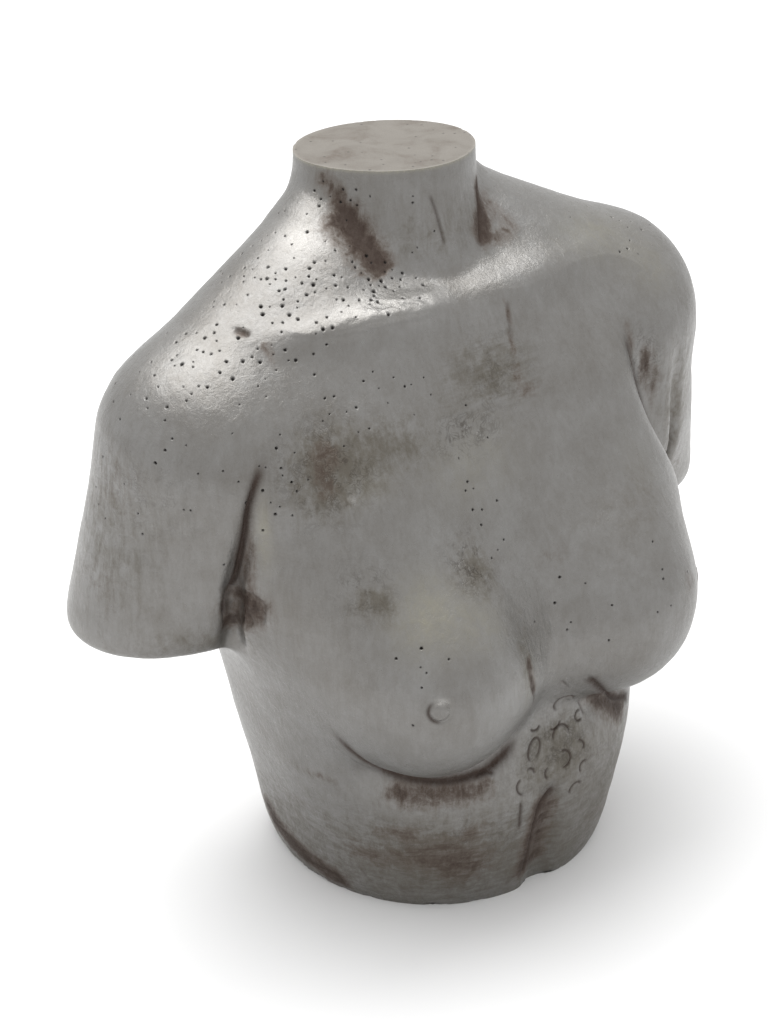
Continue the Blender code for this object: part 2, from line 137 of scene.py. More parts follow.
torsoForm = {
    "height": 0.4365,
    "sectionHeights": (0.0, 0.054, 0.108, 0.162, 0.216, 0.27, 0.324, 0.378),
    "middles": (0.003, 0.0005, 0.0, 0.0, 0.0, 0.0, 0.0, 0.0),
    "halfWidths": (0.108, 0.1122, 0.1265, 0.1399, 0.1611, 0.1593, 0.1238, 0.0799),
    "frontDepths": (0.1085, 0.1185, 0.116, 0.0837, 0.0765, 0.0711, 0.054, 0.0351),
    "backDepths": (0.081, 0.0855, 0.0873, 0.0939, 0.1013, 0.1024, 0.0896, 0.0617),
    "squareness": (2.2, 2.5, 2.35, 2.3, 2.3, 2.3, 2.3, 2.3),
    "overrun": 0.027,
    "trunkTop": (0.369, 0.027),  # height, softness
    "neckTop": (0.0023, 0.0418),
    "neckLow": (0.0351, 0.342),  # y, z
    "neckTurn": -13.0,
    "neckHalf": (0.0536, 0.05),
    "neckCutFacing": (0.016, 0.053, 1.0),
    "neckSoft": 0.0324,
    "throatLow": (0.0, -0.009, 0.3348),
    "throatRadii": (0.0216, 0.048),
    "throatSoft": 0.0108,
    "girdleInner": (0.0405, 0.0365, 0.3717),
    "girdleRadius": 0.0473,
    "girdleSoft": 0.045,
    "shoulders": ((-0.1363, 0.018, 0.2957), (0.1392, 0.0175, 0.304)),
    "shoulderRadius": 0.065,
    "elbows": ((-0.1787, 0.0405, 0.153), (0.1811, 0.0333, 0.153)),
    "elbowRadius": 0.0509,
    "armEnds": (0.18, 0.1725),
    "armEndRound": 0.026,
    "armSoft": 0.0162,
    "breasts": ((-0.0662, -0.0851, 0.1683), (0.0676, -0.0837, 0.1778)),
    "breastRadii": (0.054, 0.0634, 0.0617),
    "slopeTop": (0.081, -0.036, 0.2835),
    "slopeLift": (0.0, 0.0108, 0.0108),
    "slopeRadii": (0.045, 0.0288),
    "tailCentre": (0.0936, -0.045, 0.1998),
    "tailRadii": (0.0414, 0.0414, 0.0558),
    "breastSoft": 0.054,
    "cleavageSoft": 0.0216,
    "sternumTop": (0.0, -0.002, 0.3),
    "sternumLow": (0.002, -0.078, 0.165),
    "sternumRadius": 0.034,
    "sternumSoft": 0.085,
    "middleEnds": (0.015, 0.045),
    "middleShare": 0.3,
    "foldSoft": 0.0126,
    "chestSoft": 0.1026,
    "foldBelow": 0.027,
    "chestAbove": 0.072,
    "foldEnds": (0.085, 0.125),
    "foldEndShare": 0.4,
    "clavicle": {"path": ((0.0144, -0.0333, 0.3654), (0.063, -0.0342, 0.3663), (0.1035, -0.0216, 0.3645),
        (0.135, 0.0036, 0.3582)), "rises": (0.0027, 0.004, 0.004, 0.0), "wide": 0.0099},
    "neckHollow": {"path": ((0.0504, 0.0252, 0.423), (0.0432, 0.009, 0.4014), (0.036, -0.0036, 0.3816)),
        "rises": (-0.0027, -0.0072, -0.001), "wide": 0.0144},
    "armpit": {"path": ((0.1485, -0.0504, 0.3132), (0.1566, -0.0468, 0.27), (0.1602, -0.036, 0.2322),
        (0.1539, -0.0234, 0.189)), "rises": (0.0, -0.0036, -0.0072, -0.0108), "wide": 0.0063},
    "leftCrease": {"path": ((0.11, -0.052, 0.325), (0.1215, -0.058, 0.29), (0.127, -0.059, 0.264),
        (0.135, -0.056, 0.24), (0.145, -0.045, 0.205)), "rises": (-0.001, -0.012, -0.0165, -0.014, -0.006),
        "wide": 0.015},
    "bellyGroove": {"path": ((0.006, -0.106, -0.009), (0.006, -0.115, 0.036), (0.005, -0.123, 0.077)),
        "rises": (-0.0075, -0.0095, -0.001), "wide": 0.0095},
    "spine": {"path": ((0.0, 0.0828, 0.0), (0.0, 0.0891, 0.108), (0.0, 0.1035, 0.216),
        (0.0, 0.1008, 0.306)), "rises": (-0.0036, -0.0045, -0.0045, -0.0009), "wide": 0.018},
    "trimMiddle": (0.003, -0.008),  # a cone trims the underside's edge
    "trimRadius": 0.104,
    "trimFlare": 0.45,
    "trimSoft": 0.006,
}


# The lesser of two distances, less a cube of how near they are, so the two melt together
def softMin(a, b, width):
    near = np.maximum(width - np.abs(a - b), 0) / width
    return np.minimum(a, b) - near ** 3 * width / 6


def softMax(a, b, width):
    return -softMin(-a, -b, width)


# 0 below low, 1 above high, and between them t cubed times (6 t squared - 15 t + 10)
def easeUp(low, high, value):
    t = np.clip((value - low) / (high - low), 0, 1)
    return t ** 3 * (t * (6 * t - 15) + 10)


# Bell of a distance, 1 at 0
def bell(distance, wide):
    return np.exp(-(distance / wide) ** 2)


# 1 along the middle of a path, easing to 0 between the two shares from each end
def endFade(share, low, high):
    return easeUp(low, high, share) * easeUp(low, high, 1 - share)


# Natural cubic spline: bends are solved so that slopes meet at each height and the ends are straight
def splineThrough(z, heights, sizes):
    heights, sizes = np.array(heights), np.array(sizes)
    gaps = np.diff(heights)
    count = len(heights)
    rows, right = np.eye(count), np.zeros(count)
    for i in range(1, count - 1):
        rows[i, i - 1:i + 2] = gaps[i - 1], 2 * (gaps[i - 1] + gaps[i]), gaps[i]
        right[i] = 6 * ((sizes[i + 1] - sizes[i]) / gaps[i] - (sizes[i] - sizes[i - 1]) / gaps[i - 1])
    bend = np.linalg.solve(rows, right)
    z = np.clip(z, heights[0] - torsoForm["overrun"], heights[-1] + torsoForm["overrun"])
    i = np.clip(np.searchsorted(heights, z) - 1, 0, count - 2)
    up, down = z - heights[i], heights[i + 1] - z
    curved = (bend[i] * down ** 3 + bend[i + 1] * up ** 3) / (6 * gaps[i])
    return (curved + (sizes[i] / gaps[i] - bend[i] * gaps[i] / 6) * down
            + (sizes[i + 1] / gaps[i] - bend[i + 1] * gaps[i] / 6) * up)


# Share of the way from start to end of the nearest place on a straight run, and the distance to it
def placeOn(points, start, end):
    start = np.array(start)
    run = np.array(end) - start
    share = np.clip(((points - start) @ run) / (run @ run), 0, 1)
    return share, np.linalg.norm(points - (start + share[:, None] * run), axis=1)


# Distance to a straight run less a radius that changes evenly along it
def capsule(points, start, end, startRadius, endRadius):
    share, distance = placeOn(points, start, end)
    return distance - (startRadius + (endRadius - startRadius) * share)


# First-order distance to an ellipsoid: scaled length times (scaled length - 1) over the slope
def ellipsoid(points, centre, radii):
    offset, radii = points - np.array(centre), np.array(radii)
    scaled = np.linalg.norm(offset / radii, axis=1) + 1e-9
    slope = np.linalg.norm(offset / radii ** 2, axis=1) + 1e-9
    return scaled * (scaled - 1) / slope


# Nearest distance to a path of straight runs, and the share of the whole path where it is nearest
def alongPath(points, path):
    nearest = np.full(len(points), 9.0)
    share = np.zeros(len(points))
    runs = len(path) - 1
    for i in range(runs):
        here, distance = placeOn(points, path[i], path[i + 1])
        closer = distance < nearest
        nearest = np.where(closer, distance, nearest)
        share = np.where(closer, (i + here) / runs, share)
    return nearest, share


# Squared distance from each point to each place
def squareGaps(points, places):
    return (points ** 2).sum(axis=1)[:, None] + (places ** 2).sum(axis=1) - 2 * points @ places.T


# Bells strung along a path, one width apart, whose heights add up to a smooth rise
def ridgeAlong(points, values):
    path, wide = np.array(values["path"]), values["wide"]
    reached = np.concatenate([[0], np.cumsum(np.linalg.norm(np.diff(path, axis=0), axis=1))])
    along = np.linspace(0, reached[-1], 2 + int(reached[-1] / wide))
    places = np.stack([np.interp(along, reached, column) for column in path.T], axis=1)
    heights = np.interp(along, reached, values["rises"]) * along[1] / (wide * math.sqrt(math.pi))
    return np.exp(-squareGaps(points, places) / wide ** 2) @ heights


def neckMiddle():
    return np.array((*torsoForm["neckTop"], torsoForm["height"]))


# Superellipse sections, rounder and a little to her left at the underside
def trunkForm(points):
    x, y, z = points.T
    heights = torsoForm["sectionHeights"]
    names = ("middles", "halfWidths", "frontDepths", "backDepths", "squareness")
    middle, halfWidth, front, back, power = (splineThrough(z, heights, torsoForm[name]) for name in names)
    x = x - middle
    depth = np.where(y < 0, front, back)
    scaled = (np.abs(x / halfWidth) ** power + np.abs(y / depth) ** power) ** (1 / power) + 1e-9
    return np.hypot(x, y) * (1 - 1 / scaled)


# An upright oval column, turned about its own axis
def neckForm(points):
    x, y, z = points.T
    topX, topY = torsoForm["neckTop"]
    lowY, lowZ = torsoForm["neckLow"]
    turn = math.radians(torsoForm["neckTurn"])
    wide, deep = torsoForm["neckHalf"]
    across = x - topX
    along = y - (lowY + (topY - lowY) * (z - lowZ) / (torsoForm["height"] - lowZ))
    return (np.hypot((across * math.cos(turn) + along * math.sin(turn)) / wide,
                     (along * math.cos(turn) - across * math.sin(turn)) / deep) - 1) * wide


def mirroredTo(side, place):
    return (side * place[0], place[1], place[2])


# An ellipsoid, a sloping capsule up to the chest and a small tail to the armpit, melted together
def breastForm(points, centre, side):
    lifted = tuple(np.array(centre) + np.array(torsoForm["slopeLift"]))
    slope = capsule(points, lifted, mirroredTo(side, torsoForm["slopeTop"]), *torsoForm["slopeRadii"])
    tail = ellipsoid(points, mirroredTo(side, torsoForm["tailCentre"]), torsoForm["tailRadii"])
    soft = torsoForm["breastSoft"]
    return softMin(softMin(ellipsoid(points, centre, torsoForm["breastRadii"]), slope, soft), tail, soft)


# Distance to an upright cone that widens from the underside
def trimForm(points):
    x, y, z = points.T
    middle, flare = torsoForm["trimMiddle"], torsoForm["trimFlare"]
    outside = np.hypot(x - middle[0], y - middle[1]) - torsoForm["trimRadius"] - flare * z
    return outside / math.hypot(1, flare)


# The form before the cuts: trunk, girdle, arms, breasts and neck melted together, then ridges and hollows
def bodyForm(points):
    z = points[:, 2]
    mirrored = np.abs(points) * (1, 0, 0) + points * (0, 1, 1)
    values = torsoForm
    form = softMax(trunkForm(points), trimForm(points), values["trimSoft"])
    form = softMax(form, z - values["trunkTop"][0], values["trunkTop"][1])
    for side, shoulder in zip((-1, 1), values["shoulders"]):
        girdle = capsule(points, mirroredTo(side, values["girdleInner"]), shoulder,
                         values["girdleRadius"], values["shoulderRadius"])
        form = softMin(form, girdle, values["girdleSoft"])
    for shoulder, elbow, end in zip(values["shoulders"], values["elbows"], values["armEnds"]):
        arm = capsule(points, shoulder, elbow, values["shoulderRadius"], values["elbowRadius"])
        form = softMin(form, softMax(arm, end - z, values["armEndRound"]), values["armSoft"])
    right, left = values["breasts"]
    both = softMin(breastForm(points, right, -1), breastForm(points, left, 1), values["cleavageSoft"])
    sternum = capsule(points, values["sternumTop"], values["sternumLow"],
                      values["sternumRadius"], values["sternumRadius"])
    both = softMin(both, sternum, values["sternumSoft"])
    level = (right[2] + left[2]) / 2
    above = easeUp(level - values["foldBelow"], level + values["chestAbove"], z)
    beside = values["foldEndShare"] * easeUp(*values["foldEnds"], np.abs(points[:, 0]))
    middle = values["middleShare"] * (1 - easeUp(*values["middleEnds"], np.abs(points[:, 0])))
    melt = 1 - (1 - above) * (1 - beside) * (1 - middle)
    form = softMin(form, both, values["foldSoft"] + (values["chestSoft"] - values["foldSoft"]) * melt)
    form = softMin(form, neckForm(points), values["neckSoft"])
    for side in (-1, 1):
        path = [mirroredTo(side, place) for place in values["clavicle"]["path"]]
        form = form - ridgeAlong(points, dict(values["clavicle"], path=path))
    form = form - ridgeAlong(mirrored, values["neckHollow"])
    throatTop = (*values["neckTop"], values["height"] + values["overrun"])
    throat = capsule(points, values["throatLow"], throatTop, *values["throatRadii"])
    form = softMin(form, throat, values["throatSoft"])
    form = form - ridgeAlong(mirrored, values["armpit"]) - ridgeAlong(points, values["leftCrease"])
    return form - ridgeAlong(points, values["bellyGroove"]) - ridgeAlong(points, values["spine"])


# Gradient of the form by forward differences, and the form itself
def slopeAndForm(points, reach=0.0002):
    here = bodyForm(points)
    return np.stack([(bodyForm(points + step) - here) / reach for step in np.eye(3) * reach], axis=1), here


def slopeOf(points):
    return slopeAndForm(points)[0]


def unit(vectors):
    return vectors / np.maximum(np.linalg.norm(vectors, axis=-1, keepdims=True), 1e-9)


# Newton steps down the gradient until the points lie on the form
def drawOntoForm(points, rounds):
    for _ in range(rounds):
        gradient, here = slopeAndForm(points)
        steep = np.maximum((gradient ** 2).sum(axis=1), 0.05)
        move = -here[:, None] * gradient / steep[:, None]
        length = np.linalg.norm(move, axis=1)
        points = points + move * np.minimum(1, 0.01 / np.maximum(length, 1e-9))[:, None]
    return points


# The carved and cast detail. Places are on the form, in metres

torsoRelief = {
    "coarseFront": 0.004,           # triangle sides away from detail
    "coarseBack": 0.0054,
    "rimEdge": 0.0016,
    "spread": 0.34,                  # how fast triangles grow away from detail
    "pinholes": [                    # middle, reach, how many, smallest and largest radius
        ((-0.092, 0.008, 0.395), (0.058, 0.052, 0.034), 96, 0.00045, 0.001),
        ((-0.06, -0.022, 0.379), (0.046, 0.02, 0.014), 50, 0.0005, 0.0012),
        ((-0.118, -0.02, 0.358), (0.036, 0.036, 0.024), 36, 0.0005, 0.0011),
        ((-0.165, -0.004, 0.34), (0.046, 0.05, 0.052), 56, 0.0005, 0.001),
        ((-0.075, -0.062, 0.33), (0.056, 0.022, 0.028), 20, 0.00045, 0.0008),
        ((-0.14, -0.055, 0.3), (0.022, 0.02, 0.036), 17, 0.0005, 0.0012),
        ((-0.024, -0.086, 0.268), (0.024, 0.015, 0.046), 12, 0.0005, 0.001),
        ((-0.103, -0.125, 0.196), (0.03, 0.025, 0.034), 9, 0.0006, 0.001),
        ((0.022, -0.122, 0.198), (0.03, 0.03, 0.028), 10, 0.0005, 0.0009),
        ((0.07, -0.135, 0.205), (0.026, 0.02, 0.026), 6, 0.0005, 0.0009),
        ((0.14, -0.004, 0.368), (0.04, 0.028, 0.022), 15, 0.00045, 0.0008),
        ((-0.05, 0.018, 0.424), (0.016, 0.026, 0.014), 12, 0.00045, 0.0008),
        ((-0.01, -0.02, 0.408), (0.034, 0.01, 0.026), 5, 0.00045, 0.0007),
        ((-0.185, 0.01, 0.27), (0.03, 0.05, 0.06), 10, 0.00045, 0.0008),
        ((0.0, 0.11, 0.25), (0.12, 0.05, 0.12), 18, 0.0005, 0.0009),
    ],
    "pinholeDepth": 1.5,             # times the radius
    "pinholeApart": 0.0034,
    "pinholeEdge": 0.00058,
    "creases": {                     # path, half width, depth, share of the depth at each end
        "foldRight": (((-0.1262, -0.0795, 0.1452), (-0.119, -0.0837, 0.1369), (-0.1125, -0.0872, 0.129),
            (-0.104, -0.0891, 0.1194), (-0.0945, -0.0897, 0.112), (-0.0877, -0.0942, 0.1078),
            (-0.0806, -0.0992, 0.1053), (-0.0729, -0.1034, 0.1036), (-0.0647, -0.1071, 0.1024),
            (-0.0561, -0.1103, 0.1021), (-0.0487, -0.1122, 0.103), (-0.0405, -0.114, 0.1038),
            (-0.0322, -0.1147, 0.1078), (-0.0249, -0.1158, 0.1142), (-0.0202, -0.1163, 0.1204)),
            0.0015, 0.0014, (0.1, 0.2)),
        "foldLeft": (((0.0236, -0.1291, 0.1527), (0.029, -0.1284, 0.1462), (0.036, -0.1259, 0.1381),
            (0.0532, -0.1129, 0.1216), (0.0675, -0.104, 0.1085), (0.0766, -0.1004, 0.1036),
            (0.0874, -0.0939, 0.097)), 0.0014, 0.0014, (0.2, 0.3)),
        "leftArm": (((0.107, -0.055, 0.322), (0.113, -0.059, 0.305), (0.1215, -0.058, 0.286),
            (0.129, -0.056, 0.264), (0.138, -0.052, 0.24)), 0.0016, 0.001, (0.0, 0.3)),
        "armpitRight": (((-0.1473, -0.0504, 0.3133), (-0.1554, -0.0496, 0.2922), (-0.1573, -0.0438, 0.2653),
            (-0.159, -0.0365, 0.2403), (-0.1634, -0.0317, 0.2235), (-0.161, -0.028, 0.208)),
            0.0012, 0.0022, (0.0, 1.0)),
        "underClavicle": (((-0.1031, -0.0268, 0.364), (-0.086, -0.0325, 0.3655), (-0.069, -0.0375, 0.3658),
            (-0.051, -0.0405, 0.366), (-0.033, -0.0425, 0.3655), (-0.014, -0.0435, 0.365)),
            0.003, 0.0013, (0.2, 0.0)),
        "neckSeam": (((0.0259, -0.0446, 0.3623), (0.0235, -0.0496, 0.3522), (0.0211, -0.0548, 0.3422)),
            0.0012, 0.0005, (0.3, 0.3)),
        "neckScratch": (((-0.0058, -0.0133, 0.4238), (-0.0028, -0.016, 0.4119), (0.0, -0.0197, 0.3943)),
            0.0007, 0.0006, (0.0, 0.3)),
        "neckCrease": (((0.0382, 0.0013, 0.4197), (0.037, -0.0022, 0.4076), (0.033, -0.009, 0.396),
            (0.0285, -0.0165, 0.385)), 0.0015, 0.0018, (0.1, 0.2)),
        "grooveWall": (((0.0069, -0.1199, 0.0775), (0.004, -0.1189, 0.0722), (-0.0013, -0.1181, 0.0653),
            (-0.0045, -0.1171, 0.0553), (-0.005, -0.1142, 0.0406), (-0.0045, -0.1112, 0.0261),
            (-0.006, -0.1095, 0.012)), 0.002, 0.0026, (0.2, 0.6)),
        "grooveLip": (((-0.004, -0.119, 0.066), (-0.0078, -0.118, 0.0553), (-0.0085, -0.115, 0.0406),
            (-0.008, -0.112, 0.0261)), 0.0026, -0.0011, (0.0, 0.3)),
        "pitLine": (((-0.018, -0.1205, 0.0749), (-0.0179, -0.1197, 0.0658), (-0.0173, -0.1182, 0.0553)),
            0.0008, 0.0009, (1.0, 0.0)),
        "midLine": (((-0.0278, -0.1348, 0.1691), (-0.02, -0.1265, 0.156), (-0.0153, -0.1207, 0.145)),
            0.0008, 0.0007, (0.3, 1.0)),
        "midLineB": (((0.0103, -0.1175, 0.1539), (0.0174, -0.1176, 0.1451)), 0.0006, 0.0005, (0.3, 0.3)),
        "ringLineA": (((0.0311, -0.1111, 0.1269), (0.0345, -0.1113, 0.119), (0.0367, -0.1115, 0.1122)),
            0.0006, 0.0005, (0.3, 0.3)),
        "dimple": (((-0.13, 0.0012, 0.3694), (-0.1272, -0.0039, 0.3686), (-0.1255, -0.0083, 0.3673)),
            0.0016, 0.0014, (0.4, 0.2)),
        "starChip": (((-0.048, -0.115, 0.1015), (-0.0405, -0.1142, 0.103), (-0.035, -0.115, 0.1)),
            0.0011, 0.001, (0.4, 0.2)),
    },
    "creaseEdge": 0.00105,
    "ledges": {                      # path, half width, rise: sharp-crested edges of the collar bones
        "rightClavicle": (((-0.116, -0.0061, 0.3725), (-0.1029, -0.0239, 0.368), (-0.0905, -0.0301, 0.367),
            (-0.0765, -0.0343, 0.3677), (-0.0584, -0.0374, 0.3695), (-0.0424, -0.0392, 0.3696),
            (-0.0261, -0.0406, 0.3689), (-0.0138, -0.041, 0.3682)), 0.0042, 0.0013),
        "leftClavicle": (((0.012, -0.0408, 0.3683), (0.0232, -0.0413, 0.3681), (0.0374, -0.0419, 0.3659),
            (0.0574, -0.04, 0.3658), (0.0712, -0.0367, 0.3669), (0.0858, -0.0327, 0.367),
            (0.1019, -0.0291, 0.365), (0.1185, -0.0261, 0.3612), (0.1304, -0.029, 0.356),
            (0.1377, -0.0336, 0.3506), (0.1437, -0.0391, 0.3431)), 0.006, 0.0013),
    },
    "rings": [                       # middle, radius across and up, turn, from and to, in degrees
        ((-0.0032, -0.1129, 0.1211), 0.0042, 0.0036, 10, 190, 330),
        ((0.0109, -0.1135, 0.1174), 0.0046, 0.004, 15, 200, 350),
        ((0.0151, -0.1162, 0.1087), 0.0062, 0.0062, 0, -20, 210),
        ((-0.0063, -0.1172, 0.1069), 0.004, 0.0072, -28, -60, 300),
        ((0.0142, -0.1199, 0.0932), 0.0058, 0.0056, 0, -110, 110),
        ((0.0182, -0.1125, 0.1296), 0.0066, 0.0056, 30, -50, 220),
        ((0.0315, -0.1121, 0.1138), 0.0034, 0.0032, 0, 20, 330),
        ((-0.0112, -0.12, 0.0934), 0.003, 0.003, 0, -40, 130),
        ((-0.0168, -0.1205, 0.0859), 0.004, 0.0054, 10, 80, 280),
        ((0.0249, -0.1193, 0.0676), 0.0046, 0.0044, 30, -30, 200),
        ((0.0279, -0.1182, 0.0962), 0.004, 0.0038, 0, -60, 100),
        ((0.004, -0.1205, 0.088), 0.0038, 0.004, 0, 100, 260),
        ((0.031, -0.119, 0.081), 0.0034, 0.004, 0, 30, 240),
    ],
    "ringWide": 0.0006,
    "ringDepth": 0.0006,
    "ringEdge": 0.0008,
    "nipples": [((-0.0935, -0.1405, 0.1782), 0.0058, 0.0014), ((0.115, -0.118, 0.185), 0.006, 0.0008)],
    "nippleEdge": 0.0008,
    "brokenPatch": {"at": (-0.1565, -0.042, 0.221), "reach": (0.017, 0.022, 0.02), "sink": 0.0022,
        "rough": 0.0024, "edge": 0.0011},
    "clavicleWrinkles": {"at": (-0.052, -0.034, 0.3712), "reach": (0.052, 0.014, 0.008), "rise": 0.0016,
        "edge": 0.0014},
    "chestRipples": {"at": (0.006, -0.056, 0.335), "reach": (0.034, 0.03, 0.032), "rise": 0.00022,
        "gap": 0.0062},
    "cleavageFill": {"at": (-0.005, -0.112, 0.201), "reach": (0.021, 0.03, 0.042), "rise": 0.0038},
    "unevenness": ((0.03, 0.0005, 11), (0.012, 0.00026, 12), (0.0055, 0.00011, 13)),  # size, height, seed
    "neckFace": ((0.02, 0.0003, 21), (0.006, 0.0001, 22)),
    "rimWear": {"reach": 0.0022, "depth": 0.0009, "size": 0.006, "seed": 31},
    "baseWear": {"reach": 0.003, "depth": 0.0016, "size": 0.009, "seed": 32},
}
skinMark, neckMark, underMark = 1, 2, 4      # added together at points on more than one surface
blockSize = 4096                             # points worked out at once


# The cut planes: mark, a point on the plane and the way it faces
def cutPlanes():
    neckFacing = unit(np.array(torsoForm["neckCutFacing"]))
    return (neckMark, neckMiddle(), neckFacing), (underMark, np.zeros(3), np.array((0.0, 0.0, -1.0)))


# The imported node's triangles with doubled corners merged
def mergedNode(name):
    work = bmesh.new()
    work.from_mesh(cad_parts[name].data)
    bmesh.ops.remove_doubles(work, verts=list(work.verts), dist=1e-5)
    bmesh.ops.triangulate(work, faces=[face for face in work.faces if len(face.verts) > 3])
    work.verts.index_update()
    points = np.array([vert.co for vert in work.verts], float)
    triangles = np.array([[vert.index for vert in face.verts] for face in work.faces], np.int64)
    work.free()
    return points, triangles


def triangleNormals(points, triangles):
    a, b, c = (points[triangles[:, i]] for i in range(3))
    return unit(np.cross(b - a, c - a))


# A triangle belongs to a cut if its middle lies on the plane and it faces the same way
def markTriangles(points, triangles):
    middle = points[triangles].mean(axis=1)
    normals = triangleNormals(points, triangles)
    marks = np.full(len(triangles), skinMark)
    for mark, at, facing in cutPlanes():
        marks[(np.abs((middle - at) @ facing) < 0.0003) & (normals @ facing > 0.98)] = mark
    return marks


def markPoints(count, triangles, marks):
    found = np.zeros(count, np.int64)
    for corner in range(3):
        np.bitwise_or.at(found, triangles[:, corner], marks)
    return found


# Sides of the triangles as one key each, with the unique edges and each triangle's three edge rows
def edgesOf(triangles, count):
    ends = np.concatenate([triangles[:, [0, 1]], triangles[:, [1, 2]], triangles[:, [2, 0]]])
    low, high = ends.min(axis=1), ends.max(axis=1)
    keys, rows = np.unique(low * count + high, return_inverse=True)
    return np.stack([keys // count, keys % count], axis=1), rows.reshape(3, -1).T


# Halves each edge longer than wanted and fills each triangle by how many of its edges were halved
def splitLong(points, triangles, marks, wanted):
    edges, rows = edgesOf(triangles, len(points))
    middle = points[edges].mean(axis=1)
    tooLong = np.linalg.norm(points[edges[:, 0]] - points[edges[:, 1]], axis=1) > 1.35 * wanted(middle)
    fresh = np.full(len(edges), -1)
    fresh[tooLong] = len(points) + np.arange(tooLong.sum())
    points = np.concatenate([points, middle[tooLong]])
    halves = fresh[rows]
    count = (halves >= 0).sum(axis=1)
    # turned so that the halved edge comes first, or the whole edge comes last
    afterWhole = (np.argmax(halves < 0, axis=1) + 1) % 3
    turn = np.select([count == 1, count == 2], [np.argmax(halves >= 0, axis=1), afterWhole], 0)
    order = (turn[:, None] + np.arange(3)) % 3
    corners = np.take_along_axis(triangles, order, axis=1)
    halves = np.take_along_axis(halves, order, axis=1)
    a, b, c = corners.T
    ab, bc, ca = halves.T
    made, kinds = [corners[count == 0]], [marks[count == 0]]
    patterns = {1: [(a, ab, c), (ab, b, c)], 2: [(a, ab, c), (ab, bc, c), (ab, b, bc)],
                3: [(a, ab, ca), (ab, b, bc), (ca, bc, c), (ab, bc, ca)]}
    for halved, pieces in patterns.items():
        chosen = count == halved
        for piece in pieces:
            made.append(np.stack([part[chosen] for part in piece], axis=1))
            kinds.append(marks[chosen])
    return points, np.concatenate(made), np.concatenate(kinds)


# Turns an edge where the two angles facing it add up to more than a half turn
def turnEdges(points, triangles, marks, rounds=3):
    for _ in range(rounds):
        count = len(points)
        starts = triangles.T.reshape(-1)
        ends = triangles[:, [1, 2, 0]].T.reshape(-1)
        across = triangles[:, [2, 0, 1]].T.reshape(-1)
        owner = np.tile(np.arange(len(triangles)), 3)
        keys = np.minimum(starts, ends) * count + np.maximum(starts, ends)
        order = np.argsort(keys, kind="stable")
        first, second = order[0::2], order[1::2]
        a, b, far, near = starts[first], ends[first], across[first], across[second]
        one, two = owner[first], owner[second]

        def cornerCosine(tip):
            return (unit(points[a] - points[tip]) * unit(points[b] - points[tip])).sum(axis=1)

        gain = -(cornerCosine(far) + cornerCosine(near))
        normals = triangleNormals(points, triangles)
        together = unit(normals[one] + normals[two])
        newOne = np.stack([near, b, far], axis=1)
        newTwo = np.stack([far, a, near], axis=1)
        flat = np.ones(len(a), bool)
        for fresh in (newOne, newTwo):
            flat &= (triangleNormals(points, fresh) * together).sum(axis=1) > 0.85
        gain[~flat | (marks[one] != marks[two])] = -1
        newKeys = np.minimum(far, near) * count + np.maximum(far, near)
        sortedKeys = keys[order]
        found = np.clip(np.searchsorted(sortedKeys, newKeys), 0, len(sortedKeys) - 1)
        gain[sortedKeys[found] == newKeys] = -1
        best = np.zeros(len(triangles))
        np.maximum.at(best, one, gain)
        np.maximum.at(best, two, gain)
        chosen = (gain > 0.02) & (gain == best[one]) & (gain == best[two])
        triangles = triangles.copy()
        triangles[one[chosen]] = newOne[chosen]
        triangles[two[chosen]] = newTwo[chosen]
        if not chosen.any():
            break
    return triangles


# Each inner point moves half way to the middle of its neighbours, within the surface
def evenOut(points, triangles, found):
    edges, _ = edgesOf(triangles, len(points))
    total, count = np.zeros_like(points), np.zeros(len(points))
    for near, far in (edges.T, edges.T[::-1]):
        for axis in range(3):
            total[:, axis] += np.bincount(near, points[far, axis], len(points))
        count += np.bincount(near, minlength=len(points))
    move = 0.5 * (total / count[:, None] - points)
    inner = (found == skinMark) | (found == neckMark) | (found == underMark)
    move[~inner] = 0
    return points + move


# Skin points go to the form and cut points to their plane; rim points go to both in turn
def holdOnSurfaces(points, found, rounds):
    points = points.copy()
    skin = (found & skinMark) > 0
    rim = skin & (found != skinMark)
    points[skin] = drawOntoForm(points[skin], rounds)
    for turn in range(10):
        for mark, at, facing in cutPlanes():
            chosen = (found & mark) > 0
            points[chosen] -= ((points[chosen] - at) @ facing)[:, None] * facing
        if turn < 9:
            points[rim] = drawOntoForm(points[rim], 1)
    return points


# Distance to the nearest of a few places, worked out in blocks
def nearestGap(points, places):
    gap = np.empty(len(points))
    for first in range(0, len(points), blockSize):
        here = slice(first, first + blockSize)
        gap[here] = np.sqrt(np.maximum(squareGaps(points[here], places).min(axis=1), 0))
    return gap


# Points at even spacing along a path of straight runs
def walkPath(path, spacing):
    path = np.array(path)
    runs = np.linalg.norm(np.diff(path, axis=0), axis=1)
    reached = np.concatenate([[0], np.cumsum(runs)])
    at = np.linspace(0, reached[-1], max(2, int(reached[-1] / spacing) + 1))
    return np.stack([np.interp(at, reached, path[:, axis]) for axis in range(3)], axis=1)


# Curve through the points: each stretch is a cubic whose slopes come from the points on both sides
def smoothPath(path, steps=6):
    path = np.array(path)
    if len(path) < 3:
        return path
    padded = np.concatenate([[2 * path[0] - path[1]], path, [2 * path[-1] - path[-2]]])
    made = []
    for i in range(1, len(padded) - 2):
        p, q, r, s = padded[i - 1:i + 3]
        t = np.linspace(0, 1, steps, endpoint=False)[:, None]
        bend, twist = 2 * p - 5 * q + 4 * r - s, 3 * q - p - 3 * r + s
        made.append(0.5 * (2 * q + (r - p) * t + bend * t ** 2 + twist * t ** 3))
    return np.concatenate(made + [path[-1:]])


